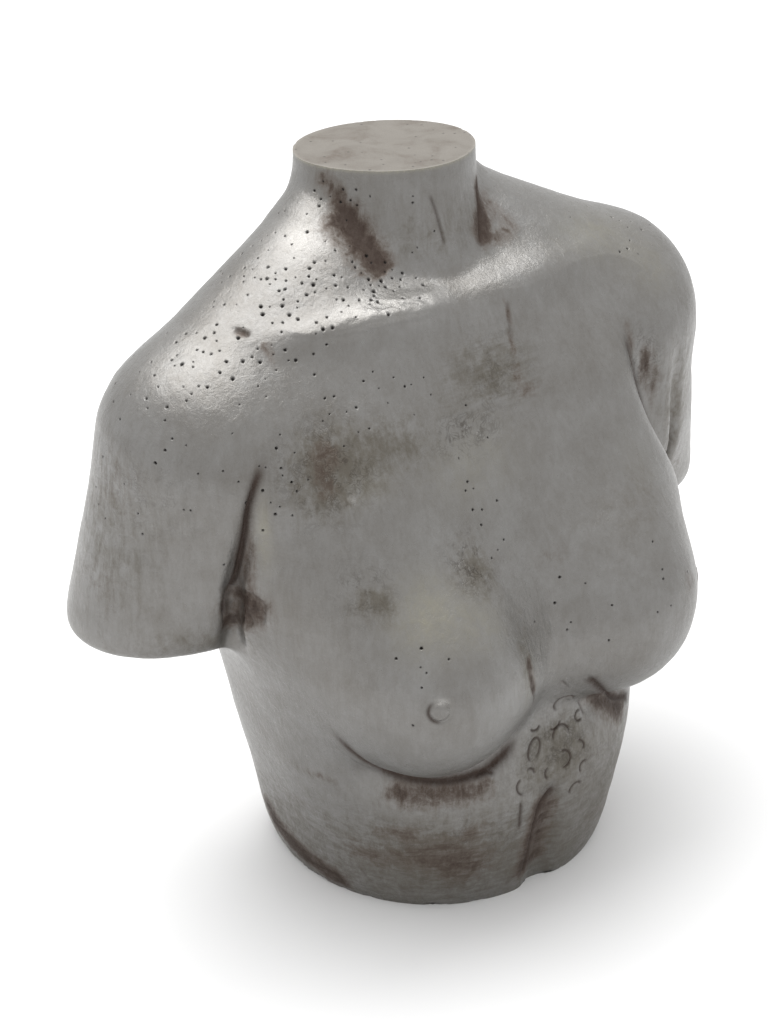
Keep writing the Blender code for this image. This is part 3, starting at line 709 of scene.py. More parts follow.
# Value noise: random values at the corners of a lattice, blended by easing, from -1 to 1
def latticeNoise(points, size, seed):
    scaled = points / size + 100.0
    cell = np.floor(scaled).astype(np.int64)
    t = scaled - cell
    t = t * t * (3 - 2 * t)
    total = np.zeros(len(points))
    for corner in range(8):
        step = np.array([corner & 1, corner >> 1 & 1, corner >> 2 & 1])
        at = cell + step
        mixed = (at[:, 0] * 73856093) ^ (at[:, 1] * 19349663) ^ (at[:, 2] * 83492791) ^ (seed * 2654435761)
        mixed = (mixed ^ (mixed >> 13)) * 1274126177 & 0xFFFFFFFF
        value = ((mixed ^ (mixed >> 16)) & 0xFFFF) / 32767.5 - 1
        total += value * np.prod(np.where(step == 1, t, 1 - t), axis=1)
    return total


# Three sizes of noise, each half as wide and half as high as the last
def roughNoise(points, size, seed):
    return sum(latticeNoise(points, size / 2 ** i, seed + i) / 2 ** i for i in range(3)) / 1.75


# 1 in the middle of an ellipsoid, falling as a bell to about 0 at its reach
def patchShare(points, at, reach):
    return np.exp(-2.2 * (((points - np.array(at)) / np.array(reach)) ** 2).sum(axis=1))


# Random places in each ellipsoid, drawn onto the form, kept if they stay near it
def placePinholes(values):
    maker = np.random.default_rng(5)
    places, radii = [], []
    for middle, reach, count, least, most in values["pinholes"]:
        offset = maker.normal(0, 0.5, (count * 2, 3))
        offset = offset[np.linalg.norm(offset, axis=1) < 1.25][:count]
        at = drawOntoForm(np.array(middle) + offset * np.array(reach), 6)
        radius = least + (most - least) * maker.random(len(at)) ** 1.6
        near = (np.abs(bodyForm(at)) < 0.0005) & (at[:, 2] < 0.432) & (nearestGap(at, nippleMiddles) > 0.01)
        places.append(at[near])
        radii.append(radius[near])
    places, radii = np.concatenate(places), np.concatenate(radii)
    kept = []
    for i, place in enumerate(places):
        others = places[kept]
        if not len(kept) or np.linalg.norm(others - place, axis=1).min() > values["pinholeApart"]:
            kept.append(i)
    return places[kept], radii[kept]


# Points of an oval arc laid in the surface: across is level, up is along the surface
def ringPath(values):
    middle, wide, high, turn, start, end = values
    centre = drawOntoForm(np.array([middle]), 4)[0]
    normal = unit(slopeOf(centre[None]))[0]
    across = unit(np.cross((0, 0, 1), normal))
    up = np.cross(normal, across)
    angle = np.radians(np.linspace(start, end, 22))
    u, v = wide * np.cos(angle), high * np.sin(angle)
    tilt = math.radians(turn)
    u, v = u * math.cos(tilt) - v * math.sin(tilt), u * math.sin(tilt) + v * math.cos(tilt)
    return drawOntoForm(centre + u[:, None] * across + v[:, None] * up, 3)


def creasePath(path):
    return drawOntoForm(smoothPath(path), 3)


# Wanted side of a triangle: coarse by front or back, finer towards each kind of detail
def makeWanted(values, pinholes, creases, rings, nippleMiddles):
    creasePlaces, ringPlaces = (np.concatenate([walkPath(path, gap) for path in paths])
                                for paths, gap in ((creases, 0.0015), (rings, 0.001)))
    kinds = [                        # places, side at them, reach, growth beyond it
        (pinholes, values["pinholeEdge"], 0.001, 0.55),
        (creasePlaces, values["creaseEdge"], 0.002, values["spread"]),
        (ringPlaces, values["ringEdge"], 0.0008, 0.4),
        (nippleMiddles, values["nippleEdge"], 0.0075, values["spread"]),
    ]

    def wanted(points):
        front = easeUp(-0.02, 0.04, points[:, 1])
        size = values["coarseFront"] + (values["coarseBack"] - values["coarseFront"]) * front
        for places, fine, reach, growth in kinds:
            size = np.minimum(size, fine + growth * np.maximum(nearestGap(points, places) - reach, 0))
        for patch in (values["brokenPatch"], values["clavicleWrinkles"]):
            share = patchShare(points, patch["at"], patch["reach"])
            size = np.minimum(size, patch["edge"] / np.maximum(share, 0.12) ** 0.5)
        for mark, at, facing in cutPlanes():
            gap = np.abs((points - at) @ facing)
            near = np.flatnonzero(gap < 0.008)
            near = near[np.abs(bodyForm(points[near])) < 0.004]
            size[near] = np.minimum(size[near], values["rimEdge"] + 0.35 * gap[near])
        return size

    return wanted


# Refines the merged node round by round: halve, turn, even out and hold on the surfaces
def refineTorso(values, wanted):
    points, triangles = mergedNode("torso_cast")
    marks = markTriangles(points, triangles)
    for turn in range(7):
        before = len(triangles)
        points, triangles, marks = splitLong(points, triangles, marks, wanted)
        found = markPoints(len(points), triangles, marks)
        triangles = turnEdges(points, triangles, marks)
        points = evenOut(points, triangles, found)
        points = holdOnSurfaces(points, found, 1)
        if len(triangles) < before * 1.03:
            break
    triangles = turnEdges(points, triangles, marks)
    points = holdOnSurfaces(points, found, 2)
    print("refined in", turn + 1, "rounds to", len(triangles), "triangles")
    return points, triangles, marks, found


relief = torsoRelief
nippleMiddles = drawOntoForm(np.array([values[0] for values in relief["nipples"]]), 4)
pinPlaces, pinRadii = placePinholes(relief)
creasePaths = {name: creasePath(values[0]) for name, values in relief["creases"].items()}
ledgePaths = {name: creasePath(values[0]) for name, values in relief["ledges"].items()}
ringPaths = [ringPath(values) for values in relief["rings"]]
sharpPaths = list(creasePaths.values()) + list(ledgePaths.values())
wanted = makeWanted(relief, pinPlaces, sharpPaths, ringPaths, nippleMiddles)
points, triangles, marks, found = refineTorso(relief, wanted)
print("stage 3: torso refined,", len(pinPlaces), "pinholes")


# Pits: depth times the square root of (1 - gap squared over radius squared)
def pinholePits(points, places, radii, depth):
    sink, mask = np.zeros(len(points)), np.zeros(len(points))
    for first in range(0, len(points), blockSize):
        here = slice(first, first + blockSize)
        share = 1 - np.maximum(squareGaps(points[here], places), 0) / radii ** 2
        sink[here] = (np.sqrt(np.clip(share, 0, 1)) * radii * depth).max(axis=1)
        mask[here] = np.clip(0.35 + share * 1.6, 0, 1).max(axis=1)
    return sink, mask


# Creases: a narrow bell along the path, fading to a share at each end
def creaseSink(points, path, wide, depth, ends):
    nearest, share = alongPath(points, path)
    fade = ends[0] + (1 - ends[0]) * easeUp(0, 0.25, share)
    fade = fade * (ends[1] + (1 - ends[1]) * easeUp(0, 0.25, 1 - share))
    return depth * fade * bell(nearest, wide)


# The ring round a nipple's disc, as a bell of the distance to it
def moat(gap, radius):
    return bell(gap - 1.12 * radius, 0.2 * radius)


# Height of everything carved or cast on the skin, and the pinhole mask
def skinHeight(points):
    values = torsoRelief
    height = sum(rise * roughNoise(points, size, seed) for size, rise, seed in values["unevenness"])
    for name, (_, wide, depth, ends) in values["creases"].items():
        height -= creaseSink(points, creasePaths[name], wide, depth, ends)
    for name, (_, wide, rise) in values["ledges"].items():
        nearest, share = alongPath(points, ledgePaths[name])
        height += rise * endFade(share, 0, 0.2) * np.exp(-nearest / wide)
    for path in ringPaths:
        nearest, share = alongPath(points, path)
        wide = values["ringWide"]
        lip = bell(nearest - 2.4 * wide, 1.4 * wide)
        height += values["ringDepth"] * endFade(share, 0, 0.15) * (0.35 * lip - bell(nearest, wide))
    for (_, radius, rise), middle in zip(values["nipples"], nippleMiddles):
        gap = np.linalg.norm(points - middle, axis=1)
        disc = easeUp(0, 0.3 * radius, radius - gap)
        bumps = 0.22 * roughNoise(points, 0.0028, 41)
        height += rise * (disc * (0.85 + bumps) - 0.25 * moat(gap, radius))
    patch = values["brokenPatch"]
    share = patchShare(points, patch["at"], patch["reach"])
    broken = easeUp(0.25, 0.55, share + 0.12 * roughNoise(points, 0.01, 51))
    height -= broken * (patch["sink"] + patch["rough"] * roughNoise(points, 0.0042, 52))
    patch = values["cleavageFill"]
    height += patch["rise"] * patchShare(points, patch["at"], patch["reach"])
    patch = values["clavicleWrinkles"]
    share = patchShare(points, patch["at"], patch["reach"])
    slanted = points @ np.array([[0.5, 0.0, 0.0], [0.0, 1.0, 0.0], [1.1, 0.0, 1.0]])
    height += share * patch["rise"] * (1 - 2 * np.abs(roughNoise(slanted, 0.006, 61)))
    patch = values["chestRipples"]
    share = patchShare(points, patch["at"], patch["reach"])
    wave = points[:, 2] + 0.0016 * roughNoise(points, 0.012, 71)
    height += share * patch["rise"] * np.sin(2 * math.pi * wave / patch["gap"])
    sink, mask = pinholePits(points, pinPlaces, pinRadii, values["pinholeDepth"])
    return height - sink, mask


# Chips along a rim: rough noise, cut off below a threshold, deepest at the rim itself
def rimChips(points, gap, values):
    rough = roughNoise(points, values["size"], values["seed"])
    return bell(gap, values["reach"]) * values["depth"] * (0.25 + 1.4 * np.maximum(rough - 0.12, 0))


# Moves each point along its surface's normal by its height; rims are worn back between both surfaces
def applyRelief(points, triangles, marks, found):
    normals = unit(slopeOf(points))
    planes = cutPlanes()
    skin = (found & skinMark) > 0
    height, pinMask = skinHeight(points)
    move = np.zeros_like(points)
    fadeAtRim = np.ones(len(points))
    for mark, at, facing in planes:
        fadeAtRim *= np.where(skin, easeUp(0, 0.003, np.abs((points - at) @ facing)), 1)
    onlySkin = found == skinMark
    move[onlySkin] = normals[onlySkin] * height[onlySkin, None] * (0.15 + 0.85 * fadeAtRim[onlySkin, None])
    depthInside = np.maximum(-bodyForm(points), 0)
    for mark, at, facing in planes:
        onPlane = (found & mark) > 0
        gap = np.where(skin, np.abs((points - at) @ facing), depthInside)
        wear = torsoRelief["rimWear"] if mark == neckMark else torsoRelief["baseWear"]
        reachable = onPlane | (skin & (gap < 4 * wear["reach"]) & (depthInside < 0.004))
        worn = np.where(reachable, rimChips(points, gap, wear), 0)
        back = unit(normals + facing)
        if mark == underMark:            # the underside stays flat, so its rim only moves inwards
            back = unit(normals * (1, 1, 0))
        move -= back * worn[:, None] * np.where(onPlane & ~skin & (mark == underMark), 0, 1)[:, None]
    face = found == neckMark
    dents = sum(rise * roughNoise(points, size, seed) for size, rise, seed in torsoRelief["neckFace"])
    sunk = np.minimum(dents, 0)[face] * easeUp(0, 0.004, depthInside[face])
    move[face] += planes[0][2] * sunk[:, None]
    return points + move, pinMask


shaped, pinMask = applyRelief(points, triangles, marks, found)
lowest, highest = np.array(cadBox[0]), np.array(cadBox[1])
shaped = np.clip(shaped, lowest + 1e-6, highest - 1e-6)
print("stage 4: relief carved")


# Paint masks worked out at each point: brown wash along lines and in patches (with painted shade along the
# base's turned-under edge), grey stain, cream bloom, painted highlights, wandering lines, the way the brush
# went and the neck's rim

torsoPaint = {
    "washLines": {                   # crease or path, half width, strength
        "foldRight": (0.0044, 1.0), "foldLeft": (0.0038, 1.0), "leftArm": (0.003, 0.8),
        "armpitRight": (0.003, 1.0), "neckCrease": (0.0036, 1.0), "neckScratch": (0.0011, 0.6),
        "grooveWall": (0.0044, 1.0), "pitLine": (0.0014, 0.8), "midLine": (0.0015, 0.65),
        "midLineB": (0.0009, 0.4), "ringLineA": (0.0009, 0.5), "dimple": (0.0022, 0.65),
        "neckSeam": (0.0013, 0.35), "starChip": (0.0014, 0.9),
    },
    "ringWash": (0.0008, 0.85),
    "nippleWash": 0.9,
    "bands": {                       # path, half width, strength of washes drawn out along a line
        # painted shade of the turned-under base edge, together with brown wash
        "baseEdgeShade": (((-0.1075, 0.032, 0.034), (-0.1066, 0.019, 0.027), (-0.1062, 0.006, 0.0215),
            (-0.106, -0.004, 0.0178), (-0.1052, -0.015, 0.0152), (-0.1035, -0.0277, 0.013),
            (-0.0998, -0.0416, 0.01), (-0.0942, -0.0549, 0.005)), 0.0085, 0.95),
        "hollowTop": (((-0.05, 0.032, 0.4345), (-0.048, 0.023, 0.426), (-0.0455, 0.0139, 0.4151)),
            0.006, 0.5),
        "hollow": (((-0.0462, 0.017, 0.42), (-0.0445, 0.01, 0.41), (-0.043, 0.003, 0.402),
            (-0.0415, -0.0037, 0.396), (-0.0392, -0.0114, 0.3882), (-0.0372, -0.016, 0.384)), 0.0082, 1.0),
        "hollowEdge": (((-0.052, 0.018, 0.418), (-0.0505, 0.008, 0.406), (-0.048, -0.003, 0.396),
            (-0.043, -0.015, 0.384)), 0.012, 0.42),
        "neckSide": (((0.04, 0.003, 0.422), (0.04, -0.001, 0.412), (0.0385, -0.005, 0.404),
            (0.035, -0.011, 0.395), (0.033, -0.016, 0.386)), 0.0058, 1.0),
        "belowRight": (((-0.096, -0.0885, 0.101), (-0.0876, -0.0938, 0.0965), (-0.078, -0.1009, 0.095),
            (-0.0626, -0.1093, 0.0942), (-0.0452, -0.115, 0.0945), (-0.0353, -0.116, 0.097)), 0.01, 0.62),
        "belowLeft": (((0.038, -0.119, 0.129), (0.053, -0.109, 0.114), (0.068, -0.103, 0.101),
            (0.078, -0.099, 0.095)), 0.0085, 0.8),
        "groove": (((0.003, -0.1195, 0.074), (-0.003, -0.1175, 0.064), (-0.0055, -0.116, 0.05),
            (-0.006, -0.113, 0.035), (-0.0065, -0.11, 0.02), (-0.0075, -0.108, 0.008)), 0.0066, 1.0),
        "grooveRight": (((0.006, -0.119, 0.069), (0.004, -0.1123, 0.048), (0.0035, -0.109, 0.03),
            (0.003, -0.107, 0.012)), 0.0082, 0.7),
        "midline": (((-0.03, -0.13, 0.186), (-0.027, -0.132, 0.172), (-0.022, -0.127, 0.158)), 0.003, 0.75),
    },
    "washPatches": [                 # middle, reach, strength
        ((0.0378, -0.001, 0.406), (0.0065, 0.011, 0.02), 0.95),  # her left neck crease
        ((0.033, -0.011, 0.393), (0.01, 0.011, 0.013), 0.9),
        ((0.048, 0.003, 0.402), (0.01, 0.012, 0.015), 0.42),
        ((0.054, -0.008, 0.392), (0.011, 0.011, 0.01), 0.4),
        ((0.044, -0.014, 0.386), (0.014, 0.009, 0.006), 0.34),
        ((-0.157, -0.0425, 0.2215), (0.017, 0.022, 0.018), 1.0),  # broken place in her right armpit
        ((-0.156, -0.026, 0.205), (0.012, 0.016, 0.013), 0.8),
        ((-0.1575, -0.046, 0.252), (0.008, 0.01, 0.032), 0.6),
        ((-0.086, -0.092, 0.065), (0.028, 0.024, 0.01), 0.34),  # low on the belly
        ((-0.065, -0.101, 0.047), (0.042, 0.028, 0.02), 0.52),
        ((-0.05, -0.108, 0.034), (0.026, 0.022, 0.02), 0.55),
        ((-0.092, -0.072, 0.043), (0.03, 0.032, 0.016), 0.36),
        ((-0.048, -0.112, 0.064), (0.02, 0.02, 0.009), 0.3),
        ((-0.118, -0.05, 0.096), (0.02, 0.03, 0.007), 0.24),
        ((-0.116, -0.03, 0.062), (0.02, 0.04, 0.008), 0.22),
        ((0.05, -0.098, 0.03), (0.03, 0.03, 0.02), 0.26),
        ((-0.1276, -0.0035, 0.3688), (0.0048, 0.0052, 0.004), 0.7),  # dimple on her right shoulder
        ((-0.1215, -0.02, 0.36), (0.005, 0.013, 0.011), 0.4),
        ((0.024, -0.048, 0.356), (0.003, 0.014, 0.012), 0.66),  # marks down the chest
        ((0.021, -0.055, 0.34), (0.0028, 0.012, 0.011), 0.5),
        ((0.019, -0.062, 0.324), (0.005, 0.012, 0.009), 0.44),
        ((0.024, -0.067, 0.315), (0.014, 0.01, 0.006), 0.36),
        ((0.1125, -0.0535, 0.318), (0.0055, 0.012, 0.017), 0.55),  # between her left breast and arm
        ((0.126, -0.0532, 0.2985), (0.0075, 0.012, 0.017), 0.72),
        ((0.1345, -0.0525, 0.28), (0.008, 0.012, 0.02), 0.45),
        ((0.16, -0.042, 0.245), (0.014, 0.02, 0.042), 0.18),
        ((0.176, -0.025, 0.205), (0.02, 0.026, 0.02), 0.2),
        ((0.093, -0.137, 0.199), (0.01, 0.011, 0.014), 0.3),
        ((0.0106, -0.109, 0.228), (0.024, 0.014, 0.013), 0.15),
        ((-0.113, -0.061, 0.312), (0.009, 0.01, 0.01), 0.6),  # blotches of the chest
        ((-0.116, -0.065, 0.296), (0.007, 0.009, 0.011), 0.55),
        ((-0.115, -0.065, 0.3), (0.026, 0.022, 0.026), 0.14),
        ((-0.109, -0.0975, 0.232), (0.013, 0.014, 0.0095), 0.12),
        ((-0.205, 0.01, 0.295), (0.018, 0.04, 0.034), 0.14),  # outside of her right arm
        ((-0.213, 0.02, 0.225), (0.015, 0.03, 0.032), 0.14),
        ((0.0, 0.1, 0.22), (0.014, 0.02, 0.13), 0.4),  # back and far side
        ((0.15, 0.06, 0.22), (0.012, 0.03, 0.05), 0.6),
        ((-0.15, 0.065, 0.225), (0.012, 0.03, 0.05), 0.6),
        ((0.07, 0.05, 0.006), (0.07, 0.07, 0.012), 0.5),
        ((-0.06, 0.075, 0.05), (0.05, 0.03, 0.035), 0.4),
        ((0.05, 0.09, 0.3), (0.05, 0.03, 0.03), 0.34),
        ((-0.07, 0.085, 0.32), (0.03, 0.03, 0.03), 0.34),
    ],
    "stainPatches": [
        ((0.0, -0.02, 0.02), (0.3, 0.3, 0.09), 0.56),
        ((-0.112, -0.064, 0.303), (0.04, 0.032, 0.04), 0.82),
        ((-0.074, -0.07, 0.308), (0.042, 0.026, 0.025), 0.5),
        ((-0.107, -0.099, 0.232), (0.019, 0.022, 0.014), 0.74),
        ((-0.045, -0.109, 0.238), (0.019, 0.022, 0.023), 0.75),
        ((-0.03, -0.128, 0.18), (0.012, 0.022, 0.034), 0.55),
        ((0.012, -0.118, 0.098), (0.042, 0.026, 0.036), 0.65),
        ((0.0, -0.06, 0.33), (0.052, 0.04, 0.03), 0.55),
        ((-0.065, -0.1, 0.045), (0.085, 0.064, 0.044), 0.55),
        ((0.065, -0.095, 0.055), (0.062, 0.056, 0.062), 0.5),
        ((-0.205, 0.02, 0.26), (0.036, 0.06, 0.09), 0.34),
        ((-0.17, -0.02, 0.195), (0.05, 0.04, 0.02), 0.4),
        ((0.16, -0.035, 0.26), (0.036, 0.05, 0.08), 0.5),
        ((0.07, -0.115, 0.25), (0.04, 0.03, 0.03), 0.25),
        ((0.0, -0.01, 0.4), (0.06, 0.03, 0.026), 0.35),
        ((0.0, 0.1, 0.18), (0.09, 0.05, 0.1), 0.5),
        ((0.09, 0.07, 0.3), (0.06, 0.05, 0.05), 0.4),
        ((-0.11, 0.07, 0.27), (0.05, 0.05, 0.06), 0.4),
    ],
    "creamPatches": [
        ((-0.083, -0.118, 0.226), (0.03, 0.028, 0.03), 0.9),
        ((-0.056, -0.124, 0.213), (0.024, 0.024, 0.024), 0.5),
        ((-0.025, -0.082, 0.29), (0.042, 0.026, 0.03), 0.35),
        ((-0.098, -0.072, 0.295), (0.024, 0.02, 0.016), 0.45),
        ((0.115, -0.015, 0.372), (0.046, 0.03, 0.02), 0.55),
        ((0.146, -0.03, 0.348), (0.026, 0.024, 0.03), 0.4),
        ((-0.028, -0.129, 0.17), (0.01, 0.018, 0.024), 0.55),
        ((0.085, -0.088, 0.25), (0.02, 0.02, 0.03), 0.25),
        ((-0.1495, -0.053, 0.27), (0.005, 0.01, 0.03), 0.7),
    ],
    # painted highlights and glints: lighter silver where the light's reflection falls on the collar bones,
    # neck base, shoulder, a chest spot and the right nipple's rim
    "paintedHighlightPatches": [
        ((-0.064, -0.028, 0.374), (0.052, 0.018, 0.009), 0.6),
        ((-0.035, -0.034, 0.373), (0.03, 0.012, 0.008), 0.7),
        ((-0.156, 0.002, 0.358), (0.034, 0.03, 0.016), 0.1),
        ((-0.072, 0.016, 0.403), (0.024, 0.034, 0.018), 0.6),
        ((0.04, -0.025, 0.372), (0.026, 0.016, 0.007), 0.4),
        ((-0.106, -0.074, 0.286), (0.005, 0.006, 0.0035), 0.8),
        ((-0.092, -0.141, 0.184), (0.005, 0.006, 0.0025), 0.9),
    ],
    "scribblePatches": [
        ((-0.113, -0.064, 0.303), (0.038, 0.03, 0.04), 1.0),
        ((-0.047, -0.108, 0.242), (0.02, 0.024, 0.024), 1.0),
        ((-0.112, -0.095, 0.24), (0.024, 0.024, 0.024), 0.65),
        ((0.012, -0.118, 0.1), (0.044, 0.026, 0.044), 0.7),
        ((-0.06, -0.105, 0.05), (0.07, 0.05, 0.042), 0.6),
        ((-0.065, -0.106, 0.094), (0.045, 0.024, 0.011), 0.7),
        ((-0.025, -0.076, 0.305), (0.032, 0.022, 0.018), 0.85),
        ((0.005, -0.06, 0.33), (0.036, 0.026, 0.032), 0.5),
        ((-0.19, 0.0, 0.29), (0.04, 0.05, 0.05), 0.35),
        ((0.07, -0.095, 0.07), (0.05, 0.04, 0.05), 0.5),
        ((0.125, -0.053, 0.302), (0.016, 0.016, 0.028), 0.8),
    ],
    "levelPatches": [                # where the brush went level and not up and down
        ((0.0, -0.02, 0.02), (0.3, 0.3, 0.115), 1.0),
        ((0.0, -0.06, 0.325), (0.07, 0.05, 0.045), 1.0),
    ],
    "rimReach": 0.0012,
}


def patchMask(points, patches):
    clear = np.ones(len(points))
    for at, reach, strength in patches:
        clear *= 1 - strength * patchShare(points, at, reach)
    return 1 - clear


# What a wash drawn along a path leaves clear
def clearAlong(points, path, wide, strength, low, high):
    nearest, share = alongPath(points, path)
    return 1 - strength * endFade(share, low, high) * bell(nearest, wide)


# Wash in the creases and rings, and round the lower side of each nipple
def lineMask(points, values):
    clear = np.ones(len(points))
    for name, (wide, strength) in values["washLines"].items():
        clear *= clearAlong(points, creasePaths[name], wide, strength, -0.05, 0.12)
    for path in ringPaths:
        clear *= clearAlong(points, path, *values["ringWash"], 0, 0.2)
    for (_, radius, _), middle in zip(torsoRelief["nipples"], nippleMiddles):
        offset = points - middle
        gap = np.linalg.norm(offset, axis=1)
        lower = easeUp(-0.1, 0.8, -(offset[:, 2] * 0.25 + offset[:, 0]) / np.maximum(gap, 1e-6))
        clear *= 1 - values["nippleWash"] * lower * moat(gap, radius)
    return 1 - clear


# The neck cut's rim, as a bell of the distance to it along either surface
def rimMask(points, found):
    facing = cutPlanes()[0][2]
    toPlane = np.abs((points - neckMiddle()) @ facing)
    inFace = np.where(toPlane < 1e-4, np.maximum(-bodyForm(points), 0), 1.0)
    return bell(np.where((found & skinMark) > 0, toPlane, inFace), torsoPaint["rimReach"])


def torsoMasks(points, found):
    values = torsoPaint
    clear = 1 - patchMask(points, values["washPatches"])
    for path, wide, strength in values["bands"].values():
        clear *= clearAlong(points, creasePath(path), wide, strength, -0.05, 0.15)
    made = {"lineWash": lineMask(points, values), "wideWash": 1 - clear}
    for name in ("stain", "cream", "paintedHighlight", "scribble", "level"):
        made[name] = patchMask(points, values[name + "Patches"])
    made["rim"] = rimMask(points, found)
    return made


masks = torsoMasks(points, found)
masks["pinhole"] = pinMask
print("stage 5: paint masks")


# A wire is a node's output that can be added, subtracted, multiplied and divided
class Wire:
    def __init__(self, tree, socket):
        self.tree, self.socket = tree, socket

    def __add__(self, other):
        return maths(self.tree, "ADD", self, other)

    def __sub__(self, other):
        return maths(self.tree, "SUBTRACT", self, other)

    def __rsub__(self, other):
        return maths(self.tree, "SUBTRACT", other, self)

    def __mul__(self, other):
        return maths(self.tree, "MULTIPLY", self, other)

    def __truediv__(self, other):
        return maths(self.tree, "DIVIDE", self, other)

    def spread(self, fromLow, fromHigh, toLow=0.0, toHigh=1.0):
        values = dict(enumerate((self, fromLow, fromHigh, toLow, toHigh)))
        return Wire(self.tree, addNode(self.tree, "ShaderNodeMapRange", values, clamp=True).outputs[0])


def addNode(tree, kind, values=None, **options):
    node = tree.nodes.new(kind)
    for name, value in options.items():
        setattr(node, name, value)
    for name, value in (values or {}).items():
        feed(tree, value, node.inputs[name])
    return node


# A socket takes a wire, a number, a vector or, where it has room for alpha, a colour
def feed(tree, value, socket):
    if isinstance(value, Wire):
        tree.links.new(value.socket, socket)
    elif socket.type == "RGBA":
        socket.default_value = (*value, 1)
    else:
        socket.default_value = value


def wiresOf(tree, node):
    return {socket.name: Wire(tree, socket) for socket in node.outputs if socket.name}


def maths(tree, operation, first, second=0.0, clamp=False):
    node = addNode(tree, "ShaderNodeMath", {0: first, 1: second}, operation=operation, use_clamp=clamp)
    return Wire(tree, node.outputs[0])


def noise(tree, vector, scale, detail=4.0, roughness=0.55, distortion=0.0):
    values = {"Vector": vector, "Scale": scale, "Detail": detail, "Roughness": roughness,
              "Distortion": distortion}
    return wiresOf(tree, addNode(tree, "ShaderNodeTexNoise", values))["Fac"]


def stretched(tree, vector, turn, scale):
    node = addNode(tree, "ShaderNodeMapping", {"Vector": vector, "Rotation": turn, "Scale": scale})
    return Wire(tree, node.outputs[0])


def mixColour(tree, factor, first, second):
    node = addNode(tree, "ShaderNodeMix", data_type="RGBA")
    for place, value in ((0, factor), (6, first), (7, second)):
        feed(tree, value, node.inputs[place])
    return Wire(tree, node.outputs[2])


# A group with a vector, numbers with their plain values, and number outputs
def newGroup(name, numbers, outputs):
    group = bpy.data.node_groups.new(name, "ShaderNodeTree")
    group.interface.new_socket("Vector", in_out="INPUT", socket_type="NodeSocketVector")
    for label, value in numbers.items():
        group.interface.new_socket(label, in_out="INPUT", socket_type="NodeSocketFloat").default_value = value
    for label in outputs:
        group.interface.new_socket(label, in_out="OUTPUT", socket_type="NodeSocketFloat")
    return group, wiresOf(group, group.nodes.new("NodeGroupInput")), group.nodes.new("NodeGroupOutput").inputs


# Cast grain: brushed streaks, skin pores and fine tooth as one height, and a tone from 0 to 1
def makeGrain():
    group, given, out = newGroup("castGrain", {"Streak": 0.5, "Tooth": 0.5}, ("Height", "Tone"))
    vector = given["Vector"]
    upright = stretched(group, vector, (0.25, 0.18, 0.0), (1.0, 1.0, 0.16))
    streaks = noise(group, upright, 520.0, 5.0, 0.6, 0.4)
    pores = noise(group, vector, 620.0, 4.0, 0.6, 0.8) + noise(group, vector, 2400.0, 2.0, 0.5)
    feed(group, streaks * given["Streak"] + pores * given["Tooth"], out["Height"])
    feed(group, (streaks + pores) * 0.3333, out["Tone"])
    return group


# Mottle: a cloud and a much finer speckle, both spread to 0 to 1
def makeMottle():
    group, given, out = newGroup("castMottle", {"Scale": 30.0}, ("Cloud", "Speckle"))
    cloud = noise(group, given["Vector"], given["Scale"], 6.0, 0.62, 0.6)
    speckle = noise(group, given["Vector"], given["Scale"] * 14.0, 3.0, 0.7)
    feed(group, cloud.spread(0.32, 0.68), out["Cloud"])
    feed(group, speckle.spread(0.32, 0.68), out["Speckle"])
    return group


# Wear: level smears, upright strokes, and thin wandering lines where a cloud crosses its middle value
def makeWear():
    group, given, out = newGroup("castWear", {"Line Width": 0.012}, ("Smear", "Brush", "Lines"))
    vector = given["Vector"]
    level = stretched(group, vector, (0.05, 0.06, 0.0), (0.16, 0.16, 1.0))
    upright = stretched(group, vector, (0.35, 0.22, 0.1), (1.0, 1.0, 0.2))
    smear = noise(group, level, 330.0, 6.0, 0.62, 0.5)
    brush = noise(group, upright, 210.0, 5.0, 0.6, 0.6)
    lines = []
    for scale, twist, wide in ((62.0, 3.0, 1.0), (150.0, 2.0, 1.6)):
        off = maths(group, "ABSOLUTE", noise(group, vector, scale, 2.0, 0.5, twist) - 0.5)
        lines.append(maths(group, "SUBTRACT", 1.0, off / (given["Line Width"] * wide), clamp=True))
    drawn = maths(group, "MAXIMUM", lines[0], lines[1] * 0.8)
    feed(group, smear.spread(0.3, 0.7), out["Smear"])
    feed(group, brush.spread(0.3, 0.7), out["Brush"])
    feed(group, drawn * noise(group, vector, 105.0, 3.0, 0.6).spread(0.44, 0.56), out["Lines"])
    return group


def placeGroup(tree, group, vector, values):
    node = addNode(tree, "ShaderNodeGroup", node_tree=group)
    for name, value in {"Vector": vector, **values}.items():
        feed(tree, value, node.inputs[name])
    return wiresOf(tree, node)


def placeMottles(tree, group, vector, scales):
    return [placeGroup(tree, group, vector, {"Scale": scale}) for scale in scales]


def attribute(tree, name):
    return wiresOf(tree, addNode(tree, "ShaderNodeAttribute", attribute_name=name))["Fac"]


def newMaterial(name):
    material = bpy.data.materials.new(name)
    material.use_nodes = True
    tree = material.node_tree
    tree.nodes.clear()
    shader = addNode(tree, "ShaderNodeBsdfPrincipled")
    output = addNode(tree, "ShaderNodeOutputMaterial")
    tree.links.new(shader.outputs[0], output.inputs["Surface"])
    return material, tree, shader.inputs, wiresOf(tree, addNode(tree, "ShaderNodeTexCoord"))["Object"]


def addBump(tree, shader, height, distance):
    bump = addNode(tree, "ShaderNodeBump", {"Height": height, "Strength": 1.0, "Distance": distance})
    feed(tree, Wire(tree, bump.outputs["Normal"]), shader["Normal"])


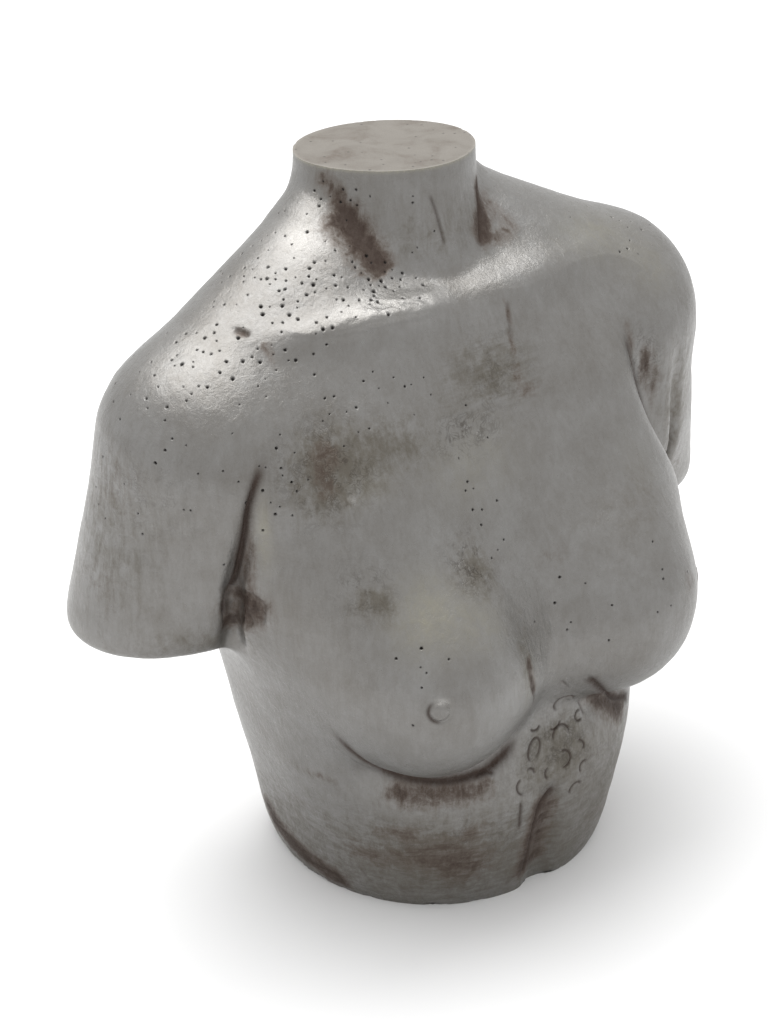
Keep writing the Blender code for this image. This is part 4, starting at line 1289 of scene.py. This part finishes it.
silverFinish = {
    "silver": (0.23, 0.226, 0.219),
    "silverDark": (0.158, 0.149, 0.136),
    # lighter silver for the painted highlights
    "paintedHighlight": (0.4, 0.388, 0.37),
    "brown": (0.033, 0.02, 0.014),
    "brownLight": (0.104, 0.08, 0.064),
    "stain": (0.118, 0.106, 0.086),
    "stainDark": (0.08, 0.07, 0.055),
    "ink": (0.046, 0.038, 0.03),
    "cream": (0.3, 0.284, 0.222),
    # nearly black: painted shade inside the pinholes
    "pitShade": (0.01, 0.008, 0.007),
    "metallic": 0.74,
    "specular": 0.3,
    "roughness": (0.27, 0.41),  # least, most
    "coveredRoughness": 0.34,        # more where dirt covers the paint
    "grain": {"Streak": 0.34, "Tooth": 0.13},
    "cloudScales": (11.0, 34.0, 130.0),
    "lineWidth": 0.052,
    "grainDepth": 0.00062,
    "wearDepth": 0.0003,
}


def makeSilver(values, grain, mottle, wear):
    material, tree, shader, vector = newMaterial("silverCast")
    feed(tree, values["specular"], shader["Specular IOR Level"])
    texture = placeGroup(tree, grain, vector, values["grain"])
    broad, clouds, fine = placeMottles(tree, mottle, vector, values["cloudScales"])
    worn = placeGroup(tree, wear, vector, {"Line Width": values["lineWidth"]})
    mask = {name: attribute(tree, name) for name in masks}
    tone = texture["Tone"].spread(0.38, 0.62)
    level = mask["level"].spread(0.3, 0.6)
    streak = worn["Smear"] * level + worn["Brush"] * (1.0 - level)
    uneven = streak * 0.32 + fine["Cloud"] * 0.44 + tone * 0.24
    # plain silver: cool where thick, warmer and darker where thin
    thin = broad["Cloud"] * 0.34 + clouds["Cloud"] * 0.3 + tone * 0.2 + streak * 0.22
    colour = mixColour(tree, thin.spread(0.22, 0.95), values["silver"], values["silverDark"])
    # painted highlight: lighter silver, broken by speckle, where the light's reflection falls
    paintedHighlight = mask["paintedHighlight"] * fine["Speckle"].spread(0.2, 0.8, 0.25)
    colour = mixColour(tree, paintedHighlight, colour, values["paintedHighlight"])
    cream = mask["cream"] * uneven.spread(0.2, 0.8, 0.25)
    colour = mixColour(tree, cream * 0.75, colour, values["cream"])
    # each film of dirt spreads where its own mask and the unevenness add up
    film = (mask["stain"] * 0.9 + uneven * 0.9).spread(0.55, 1.15) * mask["stain"].spread(0.0, 0.3, 0.25)
    colour = mixColour(tree, film * 0.8, colour, values["stain"])
    darkFilm = (mask["stain"] + uneven * 0.9).spread(0.8, 1.3, 0.0, 0.42)
    colour = mixColour(tree, darkFilm, colour, values["stainDark"])
    wide = mask["wideWash"] * 1.25 + (uneven - 0.5)
    here = mask["wideWash"].spread(0.03, 0.2)
    light = wide.spread(0.05, 0.8, 0.0, 0.9) * here
    dryBrush = (streak * 0.5 + tone * 0.5).spread(0.25, 0.7, 0.76, 1.0)
    dark = wide.spread(0.42, 1.08) * here * dryBrush
    line = maths(tree, "MULTIPLY", mask["lineWash"], tone.spread(0.0, 1.0, 0.85, 1.15), clamp=True)
    drawn = worn["Lines"] * mask["scribble"] * 0.9
    colour = mixColour(tree, drawn, colour, values["ink"])
    colour = mixColour(tree, light, colour, values["brownLight"])
    wash = maths(tree, "MAXIMUM", dark, line, clamp=True)
    colour = mixColour(tree, wash, colour, values["brown"])
    chipped = mask["rim"] * fine["Speckle"].spread(0.3, 0.7, 0.15, 0.95)
    colour = mixColour(tree, chipped, colour, values["cream"])
    # painted shade: each pinhole is coloured nearly black, as the shade inside a hole
    feed(tree, mixColour(tree, mask["pinhole"], colour, values["pitShade"]), shader["Base Color"])
    # covered paint is less metallic and rougher
    covered = maths(tree, "MAXIMUM", maths(tree, "MAXIMUM", wash, mask["pinhole"]), light * 0.6, clamp=True)
    covered = maths(tree, "MAXIMUM", covered, film * 0.35)
    feed(tree, (1.0 - covered) * values["metallic"], shader["Metallic"])
    plain = clouds["Speckle"].spread(0.0, 1.0, *values["roughness"])
    feed(tree, covered * values["coveredRoughness"] + plain, shader["Roughness"])
    sunk = maths(tree, "MAXIMUM", drawn, dark) * (values["wearDepth"] / values["grainDepth"])
    relief = texture["Height"] - sunk + (streak * 0.1 + fine["Cloud"] * 0.3)
    addBump(tree, shader, relief, values["grainDepth"])
    return material


neckFaceFinish = {
    "plain": (0.149, 0.136, 0.118),
    "dark": (0.11, 0.099, 0.083),
    "brown": (0.078, 0.058, 0.044),
    "rim": (0.24, 0.225, 0.2),
    "speck": (0.03, 0.025, 0.02),
    "speckScale": 190.0,
    "roughness": (0.56, 0.7),
    "metallic": 0.25,
    "grain": {"Streak": 0.15, "Tooth": 0.5},
    "cloudScales": (38.0, 110.0),
    "grainDepth": 0.00025,
}


def makeNeckFace(values, grain, mottle):
    material, tree, shader, vector = newMaterial("neckFace")
    texture = placeGroup(tree, grain, vector, values["grain"])
    clouds, fine = placeMottles(tree, mottle, vector, values["cloudScales"])
    colour = mixColour(tree, clouds["Cloud"] * 0.7, values["plain"], values["dark"])
    brown = clouds["Cloud"].spread(0.38, 1.0, 0.0, 0.8) * fine["Cloud"].spread(0.2, 0.8, 0.15)
    colour = mixColour(tree, brown, colour, values["brown"])
    colour = mixColour(tree, attribute(tree, "rim") * 0.5, colour, values["rim"])
    # specks: the middles of a few cells, chosen by each cell's random colour
    inputs = {"Vector": vector, "Scale": values["speckScale"]}
    cells = wiresOf(tree, addNode(tree, "ShaderNodeTexVoronoi", inputs))
    parts = addNode(tree, "ShaderNodeSeparateColor", {0: cells["Color"]})
    chosen = Wire(tree, parts.outputs[0]).spread(0.6, 0.62)
    colour = mixColour(tree, cells["Distance"].spread(0.1, 0.18, 1.0, 0.0) * chosen, colour, values["speck"])
    feed(tree, colour, shader["Base Color"])
    feed(tree, values["metallic"], shader["Metallic"])
    feed(tree, fine["Speckle"].spread(0.0, 1.0, *values["roughness"]), shader["Roughness"])
    addBump(tree, shader, texture["Height"], values["grainDepth"])
    return material


undersideFinish = {
    "plaster": (0.3, 0.285, 0.255),
    "dirt": (0.11, 0.088, 0.07),
    "roughness": (0.75, 0.93),
    "grain": {"Streak": 0.1, "Tooth": 0.8},
    "cloudScale": 32.0,
    "grainDepth": 0.0004,
}


def makeUnderside(values, grain, mottle):
    material, tree, shader, vector = newMaterial("undersidePlaster")
    texture = placeGroup(tree, grain, vector, values["grain"])
    clouds = placeGroup(tree, mottle, vector, {"Scale": values["cloudScale"]})
    colour = mixColour(tree, clouds["Cloud"] * 0.8, values["plaster"], values["dirt"])
    feed(tree, colour, shader["Base Color"])
    feed(tree, clouds["Speckle"].spread(0.0, 1.0, *values["roughness"]), shader["Roughness"])
    addBump(tree, shader, texture["Height"], values["grainDepth"])
    return material


grainGroup, mottleGroup = makeGrain(), makeMottle()
materials = [makeSilver(silverFinish, grainGroup, mottleGroup, makeWear()),
             makeNeckFace(neckFaceFinish, grainGroup, mottleGroup),
             makeUnderside(undersideFinish, grainGroup, mottleGroup)]
print("stage 6: materials")


# One closed mesh: smooth skin, sharp rims where the marks of two triangles differ
def buildTorso(points, triangles, marks, masks):
    mesh = bpy.data.meshes.new("torsoSkin")
    mesh.vertices.add(len(points))
    mesh.vertices.foreach_set("co", points.astype(np.float32).ravel())
    mesh.loops.add(len(triangles) * 3)
    mesh.loops.foreach_set("vertex_index", triangles.astype(np.int32).ravel())
    mesh.polygons.add(len(triangles))
    mesh.polygons.foreach_set("loop_start", np.arange(0, len(triangles) * 3, 3, dtype=np.int32))
    mesh.polygons.foreach_set("loop_total", np.full(len(triangles), 3, dtype=np.int32))
    mesh.update(calc_edges=True)
    slots = np.select([marks == neckMark, marks == underMark], [1, 2], 0).astype(np.int32)
    for material in materials:
        mesh.materials.append(material)
    mesh.polygons.foreach_set("material_index", slots)
    mesh.polygons.foreach_set("use_smooth", np.ones(len(triangles), bool))
    edges, rows = edgesOf(triangles, len(points))
    least, most = np.full(len(edges), 99), np.zeros(len(edges), np.int64)
    for side in range(3):
        np.minimum.at(least, rows[:, side], marks)
        np.maximum.at(most, rows[:, side], marks)
    sharp = {tuple(edge) for edge in edges[least != most].tolist()}
    flat = np.empty(len(mesh.edges) * 2, np.int32)
    mesh.edges.foreach_get("vertices", flat)
    pairs = np.sort(flat.reshape(-1, 2), axis=1)
    isSharp = [tuple(pair) in sharp for pair in pairs.tolist()]
    mesh.edges.foreach_set("use_edge_sharp", np.array(isSharp, bool))
    for name, values in masks.items():
        layer = mesh.attributes.new(name, "FLOAT", "POINT")
        layer.data.foreach_set("value", values.astype(np.float32))
    mesh.update()
    torso = addObject("torsoSkin", mesh)
    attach(torso, "root")
    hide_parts("torso_cast")
    return torso


torsoSkin = buildTorso(shaped, triangles, marks, masks)
print("stage 7: torso built,", len(torsoSkin.data.polygons), "triangles")
